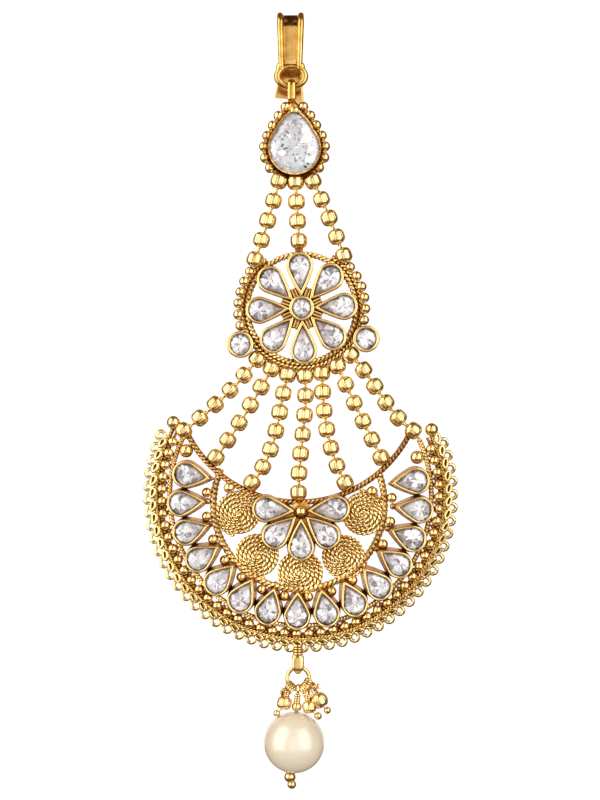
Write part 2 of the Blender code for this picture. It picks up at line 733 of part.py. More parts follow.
def pearl():
    """A round pearl, drilled along its pin."""
    axis = (pin_point(PEARL_Z + 1) - pin_point(PEARL_Z)).normalized()
    middle = pin_point(PEARL_Z)
    side = axis.cross(BACKWARDS)
    tilt = math.asin(PEARL_BORE_RADIUS / PEARL_RADIUS)
    rings = []
    for index in range(9):
        angle = tilt + (math.pi - 2 * tilt) * index / 8
        reach = PEARL_RADIUS * math.sin(angle)
        height = PEARL_RADIUS * math.cos(angle)
        ring = []
        for step in range(12):
            turn = math.tau * step / 12
            ring.append(middle + axis * height + reach * (math.cos(turn) * side + math.sin(turn) * BACKWARDS))
        rings.append(ring)
    return finish(loft(rings, closed=True), "pearl", PEARL)


def cluster(name, side, beads):
    """A small wired group of beads: its loop round the jump ring, then bead after bead."""
    centre = (EYE_X, JUMP_RING_CENTRE_Z)
    place = polar(centre, JUMP_RING_RADIUS, side * CLUSTER_LOOP_ANGLE)
    middle = at_depth(place, EYE_DEPTH)
    outwards = (middle - at_depth(centre, EYE_DEPTH)).normalized()
    radius = JUMP_RING_WIRE / 2 + LINK_GAP + CLUSTER_WIRE / 2
    path = []
    for index in range(10):
        angle = math.tau * index / 10
        path.append(middle + radius * (math.cos(angle) * outwards + math.sin(angle) * BACKWARDS))
    pieces = [wire(path, CLUSTER_WIRE, closed=True, across=outwards.cross(BACKWARDS))]
    string = [path[0]]
    for x, z, bead_radius in beads:
        string.append(at_depth((EYE_X + x, z), EYE_DEPTH))
        pieces.append(ball(string[-1], bead_radius))
    for start, end in zip(string, string[1:]):
        pieces.append(wire([start, end], CLUSTER_WIRE))
    return solder(name, pieces)


def chains():
    low_ends = crescent_beads()
    for row, start, end in zip(UPPER_CHAINS, SETTING_BEADS, medallion_top_beads()):
        name, beads, first_sway, second_sway = row
        chain(name, start, end, beads, first_sway, second_sway)
    for row, start, end in zip(LOWER_CHAINS, medallion_low_beads(), low_ends):
        name, beads, first_sway, second_sway = row
        chain(name, start, end, beads, first_sway, second_sway)


clear_scene()
hook()
pear_setting()
top_stone()
medallion_frame()
medallion_stones()
crescent_frame()
crescent_stones()
chains()
jump_ring()
cluster("cluster_left", -1, CLUSTER_LEFT)
cluster("cluster_right", 1, CLUSTER_RIGHT)
drop_pin()
pearl()
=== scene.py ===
"""The looks of the jhoomar: fine metalwork, cut stones, ball chains and pearl, over its solid model."""
import math

import bpy
import numpy as np
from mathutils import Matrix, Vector


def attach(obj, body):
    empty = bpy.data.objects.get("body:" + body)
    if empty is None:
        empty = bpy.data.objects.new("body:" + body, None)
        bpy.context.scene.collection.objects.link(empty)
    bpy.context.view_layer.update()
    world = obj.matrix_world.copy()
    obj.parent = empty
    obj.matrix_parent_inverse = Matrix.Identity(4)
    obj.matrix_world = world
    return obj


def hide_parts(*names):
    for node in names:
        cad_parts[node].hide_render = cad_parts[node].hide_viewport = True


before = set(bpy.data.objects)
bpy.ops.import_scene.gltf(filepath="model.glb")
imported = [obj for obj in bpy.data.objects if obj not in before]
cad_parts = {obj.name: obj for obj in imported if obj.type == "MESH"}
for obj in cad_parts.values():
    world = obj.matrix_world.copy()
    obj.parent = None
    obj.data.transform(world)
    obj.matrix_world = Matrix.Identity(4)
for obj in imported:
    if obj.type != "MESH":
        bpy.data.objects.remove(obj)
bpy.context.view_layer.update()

# Sizes of the solid model, in millimetres, with depths measured forwards from the crescent's back
MM = 0.001
BACK_Y = -0.8
BEAD_DEPTH = 1.3
WIRE_DEPTH = 0.9
BEAD_RADIUS = 1.37
BEAD_HALF_LENGTH = 1.25
BEAD_FLUTES = 13
POINTS_PER_FLUTE = 6
FLUTE_DEPTH = 0.033
GROOVE_SHARPNESS = 3.0
BEAD_SWELL = 1.035
# Half a bead's profile: height and reach as shares of its radius, from its belly to the rim of its hole
BEAD_PROFILE = (
    (0.15, 1.0), (0.37, 0.98), (0.57, 0.91), (0.73, 0.78), (0.85, 0.61), (0.9, 0.43), (0.86, 0.27),
    (0.78, 0.14),
)
CRESCENT_CENTRE = (1.67, -79.5)
CRESCENT_LEAN = -1.6
MEDALLION_CENTRE = (1.87, -48.43)
MEDALLION_LEAN = 2.6
SETTING_CENTRE = (0.68, -21.98)
ROPE_ARC_CENTRE = (1.42, -81.0)
BAR_CENTRE = (1.33, -60.0)
FAN_CENTRE = (1.75, -82.17)
EYE_X = 1.23
EYE_DEPTH = 0.9
EYE_BOTTOM = -109.0
JUMP_RING_Z = -110.05
JUMP_RING_RADIUS = 1.84
HOOK_Y = -1.85
HOOK_AXIS_Z = -11.47
HOOK_CROWN = 1.6
CROWN_RISE = 1.95
FRONT_LEG_END = -8.2
BACK_LEG_END = -13.0
STRAP_WIDTH = 4.57
STRAP_TAPER = 0.64
STRAP_HALF = 1.94
# Half the strap's section: distance from its middle, to STRAP_HALF, and lift off its back
STRAP_PROFILE = (
    (0.0, 0.44), (0.7, 0.42), (0.88, 0.36), (0.95, 0.4), (1.02, 0.6), (1.15, 0.8), (1.35, 0.93), (1.55, 0.94),
    (1.75, 0.86), (1.88, 0.7), (1.94, 0.5), (1.94, 0.25), (1.92, 0.08), (1.85, 0.0), (1.6, 0.0), (0.8, 0.0),
)
# Half the section of the dark strip of painted shade on the strap's front below its crown: reach across and
# lift
SHADE_STRIP_PROFILE = ((1.0, 0.3), (0.9, 0.46), (0.0, 0.475), (-0.9, 0.46), (-1.0, 0.3))
PEARL_RADIUS = 5.04
PEARL_BORE = 0.4
PEARL_Z = -120.7
END_BEAD_ORBIT = 11.25
WRAP_RADIUS = 0.36
RIGHTWARDS, BACKWARDS, UPWARDS = np.eye(3, dtype=int)

SEED = 7
dice = np.random.default_rng(SEED)


# Shapes: points and faces gathered in millimetres

class Shape:
    """Gathers closed surfaces, in millimetres, for one object with one or more finishes."""

    def __init__(self):
        self.points = []
        self.faces = []
        self.slots = []
        self.facets = []
        self.total = 0

    def add(self, points, faces, slot=0):
        self.points.append(points)
        self.faces += [tuple(corner + self.total for corner in face) for face in faces]
        self.slots += [slot] * len(faces)
        self.total += len(points)

    def skin(self, rows, closed=False, slot=0, bands=None):
        """Cover a stack of rings of points, with a face over each end unless the stack is closed.

        bands may give a finish for each band between two rings, and the last one covers the far end too.
        """
        rows = np.asarray(rows, float)
        count, around = rows.shape[:2]
        points = rows.reshape(-1, 3)
        steps = count if closed else count - 1
        low = np.arange(steps)[:, None] * around
        high = (np.arange(steps)[:, None] + 1) % count * around
        here = np.arange(around)[None, :]
        after = (here + 1) % around
        quads = np.stack((low + here, low + after, high + after, high + here), -1).reshape(-1, 4)
        corners = points[quads]
        diagonal = np.cross(corners[:, 2] - corners[:, 0], corners[:, 3] - corners[:, 1])
        middle = points.mean(0)
        volume = np.einsum("ij,ij->", corners.mean(1) - middle, diagonal)
        faces = quads.tolist()
        if not closed:
            faces.append(list(range(around))[::-1])
            faces.append(list(range((count - 1) * around, count * around)))
            for ring, sign in ((rows[0], -1), (rows[-1], 1)):
                hub = ring.mean(0)
                area = np.cross(ring - hub, np.roll(ring, -1, 0) - hub).sum(0)
                volume += sign * np.dot(hub - middle, area)
        if volume < 0:
            faces = [face[::-1] for face in faces]
        self.add(points, faces, slot)
        if bands is not None:
            chosen = [band for band in bands for _ in range(around)] + [bands[0], bands[-1]]
            self.slots[-len(faces):] = chosen[:len(faces)]

    def build(self, name, body, finishes, replaced, smooth=35):
        mesh = bpy.data.meshes.new(name)
        mesh.from_pydata((np.concatenate(self.points) * MM).tolist(), [], self.faces)
        mesh.polygons.foreach_set("material_index", self.slots)
        if self.facets:
            local = mesh.attributes.new("facet_place", "FLOAT_VECTOR", "POINT")
            local.data.foreach_set("vector", np.concatenate(self.facets).ravel())
        for made in finishes:
            mesh.materials.append(made)
        if smooth:
            mesh.shade_smooth()
            mesh.set_sharp_from_angle(angle=math.radians(smooth))
        piece = bpy.data.objects.new(name, mesh)
        bpy.context.scene.collection.objects.link(piece)
        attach(piece, body)
        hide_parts(*replaced)
        return piece


def polar(centre, radius, degrees):
    """A front view point: 0 degrees is straight down, positive to the right."""
    angle = math.radians(degrees)
    return (centre[0] + radius * math.sin(angle), centre[1] - radius * math.cos(angle))


def place(point, depth):
    return np.array((point[0], BACK_Y - depth, point[1]))


def spread(count, step, lean=0.0):
    return [lean + step * (index - (count - 1) / 2) for index in range(count)]


def unit(vectors):
    return vectors / np.linalg.norm(vectors, axis=-1, keepdims=True)


def headings(path, closed):
    """The direction of travel at each point of a path."""
    if closed:
        return unit(np.roll(path, -1, 0) - np.roll(path, 1, 0))
    return unit(np.gradient(path, axis=0))


def hoop(count, first, second):
    """Even points round a circle or an oval, from its two half axes."""
    turn = np.linspace(0, math.tau, count, endpoint=False)[:, None]
    return np.cos(turn) * first + np.sin(turn) * second


def sweep(shape, path, radii, sides, closed=False, up=BACKWARDS, slot=0, squash=1.0):
    """A round wire along a path. squash flattens it along up."""
    path = np.asarray(path, float)
    along = headings(path, closed)
    side = unit(np.cross(along, np.asarray(up, float)))
    rise = np.cross(side, along)
    turn = np.arange(sides) * math.tau / sides
    radii = np.broadcast_to(np.asarray(radii, float), (len(path),))[:, None, None]
    squash = np.broadcast_to(np.asarray(squash, float), (len(path),))[:, None, None]
    cosine, sine = np.cos(turn)[None, :, None], np.sin(turn)[None, :, None]
    ring = cosine * side[:, None] + squash * sine * rise[:, None]
    shape.skin(path[:, None] + radii * ring, closed, slot)


def rope(shape, path, width, pitch, closed=False, sides=6, slot=0):
    """Two wires twisted round each other along a path of close, even points."""
    path = np.asarray(path, float)
    ends = np.roll(path, -1, 0) if closed else path[1:]
    starts = path if closed else path[:-1]
    steps = np.linalg.norm(ends - starts, axis=1)
    run = np.concatenate(([0.0], np.cumsum(steps)))[:len(path)]
    length = steps.sum()
    turns = max(1, round(length / pitch)) if closed else length / pitch
    along = headings(path, closed)
    side = unit(np.cross(along, BACKWARDS))
    rise = np.cross(side, along)
    strand = width / 4
    reach = width / 2 - strand
    for share in (0.0, 0.5):
        angle = math.tau * (turns * run / length + share)
        middle = path + reach * (np.cos(angle)[:, None] * side + np.sin(angle)[:, None] * rise)
        sweep(shape, middle, strand * 1.12, sides, closed, slot=slot)


def arc(centre, radius, start, end, depth, spacing=0.15):
    """Close, even points along a front view arc."""
    count = max(3, int(math.radians(abs(end - start)) * radius / spacing))
    angles = np.linspace(start, end, count)
    return np.array([place(polar(centre, radius, angle), depth) for angle in angles])


def ball(shape, centre, radius, around, slot=0, scale=(1.0, 1.0, 1.0)):
    """A round grain, with small flat caps at its poles, to the front and back."""
    rows = []
    cap = 0.12
    turn = np.arange(around) * math.tau / around
    for tilt in np.linspace(cap, math.pi - cap, around // 2 + 1):
        level = np.full(around, math.cos(tilt))
        ring = np.stack((np.cos(turn) * math.sin(tilt), level, np.sin(turn) * math.sin(tilt)), -1)
        rows.append(np.asarray(centre) + radius * ring * np.asarray(scale))
    shape.skin(rows, slot=slot)


def grain(shape, centre, radius, around):
    """A soldered bead, a little smaller or larger than its neighbours."""
    ball(shape, centre, radius * dice.uniform(0.96, 1.03), around, BEAD)


def fluted_bead(shape, centre, axis, radius=BEAD_RADIUS, slot=0):
    """A barrel bead with shallow flutes from hole to hole and a sunk rim round each hole."""
    axis = unit(np.asarray(axis, float))
    side = unit(np.cross(axis, (0.13, 1.0, 0.07)))
    rise = np.cross(axis, side)
    profile = [(-height, reach) for height, reach in BEAD_PROFILE[::-1]] + list(BEAD_PROFILE)
    around = BEAD_FLUTES * POINTS_PER_FLUTE
    turn = np.arange(around) * math.tau / around
    groove = (1 - np.abs(np.sin(turn * BEAD_FLUTES / 2))) ** GROOVE_SHARPNESS
    turn = turn + dice.uniform(0, math.tau)
    rows = []
    for height, reach in profile:
        ridge = 1 - FLUTE_DEPTH * (1 - height * height * 0.7) * groove
        ring = reach * ridge[:, None] * (np.cos(turn)[:, None] * side + np.sin(turn)[:, None] * rise)
        rows.append(np.asarray(centre) + BEAD_SWELL * radius * (ring + height * axis))
    shape.skin(rows, slot=slot)


# Outlines of stones and their bezels

def teardrop(radius, tip, count, bulge, shift):
    """Even points round a pear outline about its round end, the tip pointing up."""
    half = math.asin(radius / tip)
    bow_points, side_points = 160, 60
    angles = np.linspace(-(math.pi / 2 + half), math.pi / 2 + half, bow_points)
    bow = np.stack((radius * np.sin(angles), -radius * np.cos(angles)), -1)
    run = np.linspace(0, 1, side_points + 1)[1:, None]
    side = bow[-1] * (1 - run) + np.array((0.0, tip)) * run
    side = side + np.array((math.cos(half), math.sin(half))) * 4 * bulge * run * (1 - run)
    other = side[::-1][1:] * np.array((-1, 1))
    outline = np.concatenate((bow, side, other))
    steps = np.linalg.norm(np.roll(outline, -1, 0) - outline, axis=1)
    run = np.concatenate(([0.0], np.cumsum(steps)))
    tip_run = run[bow_points + side_points - 1]
    want = (tip_run + (np.arange(count) + shift) * run[-1] / count) % run[-1]
    closed = np.concatenate((outline, outline[:1]))
    return np.stack((np.interp(want, run, closed[:, 0]), np.interp(want, run, closed[:, 1])), -1)


def round_outline(radius, count, shift):
    turn = (np.arange(count) + shift) * math.tau / count
    return np.stack((radius * np.sin(turn), radius * np.cos(turn)), -1)


def pear(radius, tip, bulge=0.12):
    """A pear form: the radius of its round end, and its outline for a count and a shift of points."""
    return radius, lambda count, shift: teardrop(radius, tip, count, bulge, shift)


def disc(radius):
    return radius, lambda count, shift: round_outline(radius, count, shift)


# The forms of the cups that hold the stones
TOP_CUP = pear(4.4, 6.6, 0.4)
TOP_RIM = pear(5.12, 8.6, 0.35)
PETAL = pear(2.25, 5.2)
MIDDLE_CUP = disc(2.1)
SIDE_CUP = disc(2.22)
CRESCENT_CUP = pear(2.22, 4.2)
FAN_CUP = pear(2.18, 4.85)


class Seat:
    """Where a stone sits: its middle, which way its tip turns, and how it leans to the front."""

    def __init__(
        self, centre, degrees, form, back=0.15, floor=0.8, front=2.4, tilt=0.0, wall=0.5, flare=0.0
    ):
        self.centre = centre
        self.turn = math.radians(degrees)
        self.radius, self.outline = form
        self.back, self.floor, self.front = back, floor, front
        self.tilt = math.radians(tilt)
        self.wall = wall
        self.flare = flare

    def ring(self, inset, depth, count=72, shift=0.0):
        """The outline drawn in by an even inset, at a depth, as 3D points."""
        flat = self.outline(count, shift) * (self.radius - inset) / self.radius
        lift = max(0.0, depth - self.back)
        inwards = flat[:, 1] - (lift - 1.2) * math.tan(self.tilt)
        rise = depth + 0.4 * flat[:, 1] * math.tan(self.tilt) * min(1.0, lift / 0.5)
        cosine, sine = math.cos(self.turn), math.sin(self.turn)
        x = self.centre[0] + flat[:, 0] * cosine - inwards * sine
        z = self.centre[1] + flat[:, 0] * sine + inwards * cosine
        return np.stack((x, BACK_Y - rise, z), -1)


def bezel(shape, seat):
    """A closed cup of sheet metal with a bright rounded rim, and inner walls in a darker gold that is painted
    shade.
    """
    wall = seat.wall
    rows = [
        (0.06 - seat.flare, seat.back), (-seat.flare, seat.back + 0.1), (0.04, seat.front - 0.34),
        (-0.01, seat.front - 0.2), (wall * 0.08, seat.front - 0.08), (wall * 0.28, seat.front - 0.015),
        (wall * 0.5, seat.front), (wall * 0.72, seat.front - 0.015), (wall * 0.92, seat.front - 0.08),
        (wall * 1.02, seat.front - 0.2), (wall * 1.1, seat.front - 0.6), (wall * 1.12, seat.floor),
    ]
    # The inner walls and floor take the darker gold: painted shade inside the cup
    bands = [CUP] * 2 + [RIM] * 7 + [SHADED_WALL] * 2
    shape.skin([seat.ring(inset, depth) for inset, depth in rows], bands=bands)


def cut_stone(shape, seat, girdle, table, facets, inner):
    """A stone with a girdle, two rows of kite facets and a flat table, each facet shaded flat.

    Its points keep their place within the stone, measured from its middle, for the broken reflections.
    """
    rows = (
        (seat.wall * 1.05, seat.floor + 0.05, 0.0),
        (seat.wall * 1.05, girdle, 0.0),
        (seat.wall + (seat.radius - seat.wall) * (1 - inner) * 0.5, girdle + (table - girdle) * 0.62, 0.5),
        (seat.wall + (seat.radius - seat.wall) * (1 - inner), table, 0.0),
    )
    rings = np.concatenate([seat.ring(inset, depth, facets, shift) for inset, depth, shift in rows])
    flat = [seat.outline(facets, shift) * (seat.radius - inset) / seat.radius for inset, _, shift in rows]
    flat = np.concatenate(flat)
    shape.facets.append(np.column_stack((flat, np.full(len(flat), dice.uniform(0, 9)))))
    here = np.arange(facets)
    after = (here + 1) % facets
    faces = np.stack((here, after, after + facets, here + facets), -1).tolist()
    faces += np.stack((here + facets, after + facets, here + 2 * facets), -1).tolist()
    faces += np.stack((after + facets, after + 2 * facets, here + 2 * facets), -1).tolist()
    faces += np.stack((here + 2 * facets, after + 2 * facets, after + 3 * facets), -1).tolist()
    faces += np.stack((here + 2 * facets, after + 3 * facets, here + 3 * facets), -1).tolist()
    faces.append((here + 3 * facets).tolist())
    faces.append(here[::-1].tolist())
    shape.add(rings, faces)


# Finishes

class Finish:
    """A material and the nodes that feed its shader."""

    def __init__(self, name):
        self.made = bpy.data.materials.new(name)
        self.made.use_nodes = True
        self.nodes, self.links = self.made.node_tree.nodes, self.made.node_tree.links
        self.shader = self.nodes["Principled BSDF"].inputs
        self.coords = self.nodes.new("ShaderNodeTexCoord").outputs["Object"]

    def feed(self, socket, value):
        """Sets a number, a vector or a colour on a socket, and links anything else to it."""
        if isinstance(value, (int, float, tuple)):
            socket.default_value = value
        else:
            self.links.new(value, socket)

    def settle(self, numbers):
        """Sets uniform numbers straight on the shader's sockets."""
        for name, value in numbers.items():
            self.shader[name].default_value = value

    def noise(self, scale, detail=3.0):
        made = self.nodes.new("ShaderNodeTexNoise")
        made.inputs["Scale"].default_value = scale
        made.inputs["Detail"].default_value = detail
        self.links.new(self.coords, made.inputs["Vector"])
        return made.outputs["Fac"]

    def ramp(self, value, *stops):
        made = self.nodes.new("ShaderNodeValToRGB")
        band = made.color_ramp
        while len(band.elements) < len(stops):
            band.elements.new(0.5)
        for element, (position, colour) in zip(band.elements, stops):
            element.position = position
            element.color = (*colour, 1.0)
        self.links.new(value, made.inputs["Fac"])
        return made.outputs["Color"]

    def mix(self, factor, first, second, blend="MIX"):
        made = self.nodes.new("ShaderNodeMix")
        made.data_type = "RGBA"
        made.blend_type = blend
        for socket, value in ((made.inputs[0], factor), (made.inputs[6], first), (made.inputs[7], second)):
            self.feed(socket, (*value, 1.0) if isinstance(value, tuple) else value)
        return made.outputs[2]

    def crevice(self, distance, *stops):
        """Dark where the surface is closed in: painted shade in the recesses, and on gold also the tarnish
        and polish left there.
        """
        made = self.nodes.new("ShaderNodeAmbientOcclusion")
        made.samples = 6
        made.inputs["Distance"].default_value = distance
        return self.ramp(made.outputs["AO"], *stops)

    def maths(self, operation, *values, kind="ShaderNodeMath"):
        made = self.nodes.new(kind)
        made.operation = operation
        for socket, value in zip(made.inputs, values):
            self.feed(socket, value)
        return made.outputs[0]

    def vectors(self, operation, *values):
        return self.maths(operation, *values, kind="ShaderNodeVectorMath")


def grey(value):
    return (value, value, value)


def gold(name, base, bright, dark, rough, depth, open_at, pits=0.1):
    """Gold plate: mottled colour, brown tarnish and painted shade in the recesses, and a faintly pitted skin.
    """
    finish = Finish(name)
    colour = finish.ramp(finish.noise(MOTTLE_SCALE, 4.0), (0.36, base), (0.62, bright))
    # Painted shade where the surface is closed in, standing also for the tarnish in the recesses
    open_air = finish.crevice(depth, (0.22, BLACK), (open_at, WHITE))
    stain = finish.ramp(finish.noise(STAIN_SCALE), (0.52, WHITE), (0.72, grey(0.72)))
    shade_tarnish_and_stain = finish.mix(1.0, open_air, stain, "MULTIPLY")
    finish.feed(finish.shader["Base Color"], finish.mix(shade_tarnish_and_stain, dark, colour))
    gloss = finish.ramp(finish.noise(GLOSS_SCALE), (0.3, grey(rough[0])), (0.7, grey(rough[1])))
    finish.feed(finish.shader["Roughness"], finish.mix(shade_tarnish_and_stain, grey(RECESS_ROUGHNESS), gloss))
    bump = finish.nodes.new("ShaderNodeBump")
    bump.inputs["Strength"].default_value = pits
    bump.inputs["Distance"].default_value = PIT_DEPTH
    finish.feed(bump.inputs["Height"], finish.noise(PIT_SCALE, 2.0))
    finish.feed(finish.shader["Normal"], bump.outputs["Normal"])
    finish.settle({"Metallic": 1.0})
    return finish.made


def spokes(finish, parts, around, along):
    """Random cells drawn out from the stone's middle to its rim, like reflections in a cut stone.

    Gives their colours, and one random number a cell.
    """
    across, up, number = parts
    squares = [finish.maths("MULTIPLY", part, part) for part in (across, up)]
    reach = finish.maths("SQRT", finish.maths("ADD", *squares))
    turn = finish.maths("ARCTAN2", across, up)
    made = finish.nodes.new("ShaderNodeCombineXYZ")
    for socket, wave in zip(made.inputs, ("COSINE", "SINE")):
        finish.feed(socket, finish.maths("MULTIPLY", finish.maths(wave, turn), around))
    lift = finish.maths("MULTIPLY", reach, along)
    finish.feed(made.inputs[2], finish.maths("MULTIPLY_ADD", number, STONE_SPREAD, lift))
    cells = finish.nodes.new("ShaderNodeTexVoronoi")
    cells.inputs["Scale"].default_value = 1.0
    finish.feed(cells.inputs["Vector"], made.outputs[0])
    split = finish.nodes.new("ShaderNodeSeparateColor")
    finish.feed(split.inputs["Color"], cells.outputs["Color"])
    return cells.outputs["Color"], split.outputs[0]


def stone_finish(name, light, shade, deep_shade, coarse, fine, slivers, tip, tilt):
    """A foil-backed cut stone: cells of painted broken reflection, small dark and bright slivers of painted
    reflection, and painted shade towards its tip and along its edge.
    """
    finish = Finish(name)
    where = finish.nodes.new("ShaderNodeAttribute")
    where.attribute_name = "facet_place"
    split = finish.nodes.new("ShaderNodeSeparateXYZ")
    finish.feed(split.inputs[0], where.outputs["Vector"])
    broad_colours, broad = spokes(finish, split.outputs, *coarse)
    fine_colours, narrow = spokes(finish, split.outputs, *fine)
    # Painted reflections: broad cells from shade to light and a bright flash, crossed by dark and bright
    # slivers
    body = finish.ramp(broad, (0.1, shade), (0.45, light), (0.75, light), (0.95, STONE_FLASH))
    body = finish.mix(1.0, body, finish.ramp(narrow, *slivers), "MULTIPLY")
    clouds = finish.ramp(finish.noise(CLOUD_SCALE, 1.0), (0.45, BLACK), (0.68, grey(0.2)))
    body = finish.mix(clouds, body, shade)
    # Painted shade that deepens towards the tip
    towards_tip = finish.maths("MULTIPLY_ADD", split.outputs[1], 0.22, 0.02)
    body = finish.mix(finish.ramp(towards_tip, (0.15, BLACK), (0.85, grey(tip))), body, deep_shade)
    # Painted shade of the bezel wall along the stone's edge
    rim = finish.crevice(0.0003, (0.15, grey(0.45)), (0.6, WHITE))
    finish.feed(finish.shader["Base Color"], finish.mix(rim, deep_shade, body))
    tilts = [finish.vectors("SUBTRACT", colours, grey(0.5)) for colours in (fine_colours, broad_colours)]
    tilts = finish.vectors("MULTIPLY", finish.vectors("ADD", *tilts), grey(tilt))
    surface = finish.nodes.new("ShaderNodeNewGeometry")
    tilted = finish.vectors("ADD", surface.outputs["Normal"], tilts)
    finish.feed(finish.shader["Normal"], finish.vectors("NORMALIZE", tilted))
    finish.settle({"Metallic": 0.3, "Roughness": 0.12, "Coat Weight": 0.7, "Coat Roughness": 0.03})
    return finish.made


def pearl_finish():
    """Cream pearl: a soft lustre, with painted shade that darkens and warms it towards the edge, under a
    clear skin.
    """
    finish = Finish("pearl_lustre")
    cream, pale_cream, shaded_edge = (0.515, 0.445, 0.335), (0.56, 0.49, 0.385), (0.47, 0.36, 0.225)
    clouds = finish.ramp(finish.noise(PEARL_SCALE), (0.35, cream), (0.7, pale_cream))
    # Painted shade: the colour turns darker and warmer where the surface turns away from the view
    facing = finish.nodes.new("ShaderNodeLayerWeight")
    facing.inputs["Blend"].default_value = 0.35
    finish.feed(finish.shader["Base Color"], finish.mix(facing.outputs["Facing"], clouds, shaded_edge))
    finish.settle({
        "Roughness": 0.32, "Metallic": 0.15, "Subsurface Weight": 0.12,
        "Subsurface Radius": (0.002, 0.0014, 0.0009), "Coat Weight": 1.0, "Coat IOR": 1.52,
        "Coat Roughness": 0.21,
    })
    return finish.made


BLACK, WHITE = grey(0.0), grey(1.0)
# Tints of the painted fire in the stones, and the colour of their brightest painted reflection
PINK, CYAN, STONE_FLASH = (1.0, 0.84, 0.80), (0.84, 0.98, 0.98), (0.85, 0.85, 0.86)
# Scales of the noise in the finishes, in patches per metre
MOTTLE_SCALE = 620
STAIN_SCALE = 260
GLOSS_SCALE = 1500
PIT_SCALE = 2600
CLOUD_SCALE = 300
PEARL_SCALE = 130
PAPER_SCALE = 3
PIT_DEPTH = 0.00004
RECESS_ROUGHNESS = 0.55
# How far apart two stones with different numbers lie in the pattern of cells
STONE_SPREAD = 11.0

# Each gold: its name, base, bright and recess colours (tarnish with painted shade), gloss range, the recess's
# depth, where its painted shade ends, and the strength of the pits
HOOK_GOLD = gold(
    "hook_gold", (0.62, 0.34, 0.075), (0.80, 0.50, 0.16), (0.15, 0.05, 0.01), (0.12, 0.26), 0.0013, 0.97)
HOOK_SOLDER = gold(
    "hook_solder", (0.70, 0.41, 0.11), (0.86, 0.58, 0.22), (0.40, 0.18, 0.04), (0.46, 0.6), 0.0003, 0.4, 1.0)
# A near black gold for painted shade: a dark reflection on the strap where it turns over
HOOK_SHADE = gold(
    "hook_painted_shade", (0.13, 0.055, 0.018), (0.26, 0.12, 0.035), (0.07, 0.03, 0.01), (0.2, 0.34), 0.0008, 0.8)
ROPE_GOLD = gold(
    "rope_gold", (0.84, 0.55, 0.18), (0.94, 0.69, 0.30), (0.26, 0.10, 0.018), (0.2, 0.36), 0.0004, 0.75)
COIL_GOLD = gold(
    "coil_gold", (0.91, 0.64, 0.25), (0.97, 0.75, 0.37), (0.34, 0.14, 0.025), (0.18, 0.32), 0.0003, 0.55)
RIM_GOLD = gold(
    "rim_gold", (0.86, 0.585, 0.21), (0.95, 0.71, 0.31), (0.34, 0.14, 0.025), (0.15, 0.26), 0.0005, 0.7, 0.05)
# A brown gold for painted shade on the cups' inner walls
SHADED_WALL_GOLD = gold(
    "painted_shade_wall_gold", (0.40, 0.24, 0.12), (0.54, 0.35, 0.19), (0.14, 0.07, 0.035), (0.3, 0.5), 0.001, 0.9)
BEAD_GOLD = gold(
    "bead_gold", (0.92, 0.65, 0.26), (0.97, 0.75, 0.37), (0.32, 0.12, 0.02), (0.16, 0.28), 0.0005, 0.7, 0.05)
SOLDER_GOLD = gold(
    "solder_gold", (0.56, 0.28, 0.075), (0.76, 0.45, 0.15), (0.15, 0.05, 0.01), (0.28, 0.46), 0.0008, 0.9,
    0.3)
CUP_GOLD = gold(
    "cup_gold", (0.54, 0.24, 0.05), (0.74, 0.40, 0.115), (0.24, 0.085, 0.015), (0.3, 0.46), 0.0008, 0.85, 0.2)
LACE_GOLD = gold(
    "lace_gold", (0.82, 0.60, 0.23), (0.90, 0.71, 0.34), (0.28, 0.13, 0.03), (0.2, 0.34), 0.0004, 0.7)
# Each stone: its name, light and shade colours of its painted reflections, deep colour of its painted shade,
# coarse and fine cells, slivers of painted reflection, depth of its painted tip shade, tilt
STONE = stone_finish(
    "foiled_stone", (0.56, 0.55, 0.56), (0.22, 0.195, 0.195), (0.19, 0.13, 0.105), (1.5, 0.9), (3.6, 1.9),
    ((0.0, grey(0.25)), (0.07, grey(0.45)), (0.12, grey(0.95)), (0.6, WHITE), (0.9, (1.0, 0.93, 0.92)),
     (1.0, (0.88, 0.94, 1.0))),
    0.95, 0.35,
)
CLEAR_STONE = stone_finish(
    "brilliant_stone", (0.45, 0.45, 0.46), (0.35, 0.35, 0.37), (0.40, 0.36, 0.36), (2.8, 0.9), (9.0, 2.6),
    ((0.0, grey(0.08)), (0.06, grey(0.4)), (0.11, grey(0.92)), (0.7, WHITE), (0.86, PINK), (0.93, CYAN),
     (1.0, WHITE)),
    0.3, 0.24,
)
PEARL = pearl_finish()
METALS = (ROPE_GOLD, RIM_GOLD, SHADED_WALL_GOLD, BEAD_GOLD, SOLDER_GOLD, HOOK_GOLD, COIL_GOLD, CUP_GOLD)
ROPE, RIM, SHADED_WALL, BEAD, SOLDER, BAIL, COIL, CUP = range(len(METALS))


# Chains

# Each chain: its name, how many beads it has, and how far it sways at its thirds
UPPER_CHAINS = (
    ("upper_left", 5, 0.1, 0.1),
    ("upper_middle", 4, 0.0, 0.0),
    ("upper_right", 5, 0.15, 0.1),
)
LOWER_CHAINS = (
    ("lower_1", 6, 0.5, 0.5),
    ("lower_2", 6, 0.2, 0.2),
    ("lower_3", 7, 0.7, 1.2),
    ("lower_4", 7, 0.3, 0.0),
    ("lower_5", 7, -0.9, -1.1),
    ("lower_6", 6, -0.1, -0.1),
    ("lower_7", 6, -0.1, -0.6),
)
SETTING_BEADS = ((-1.92, -27.25), (0.83, -27.42), (3.75, -27.25))
MEDALLION_TOP_BEADS = [
    polar(MEDALLION_CENTRE, END_BEAD_ORBIT, MEDALLION_LEAN + angle) for angle in (-139.0, 180.0, 139.0)
]
MEDALLION_LOW_BEADS = [
    polar(MEDALLION_CENTRE, END_BEAD_ORBIT, angle) for angle in spread(7, 14.6, MEDALLION_LEAN)
]
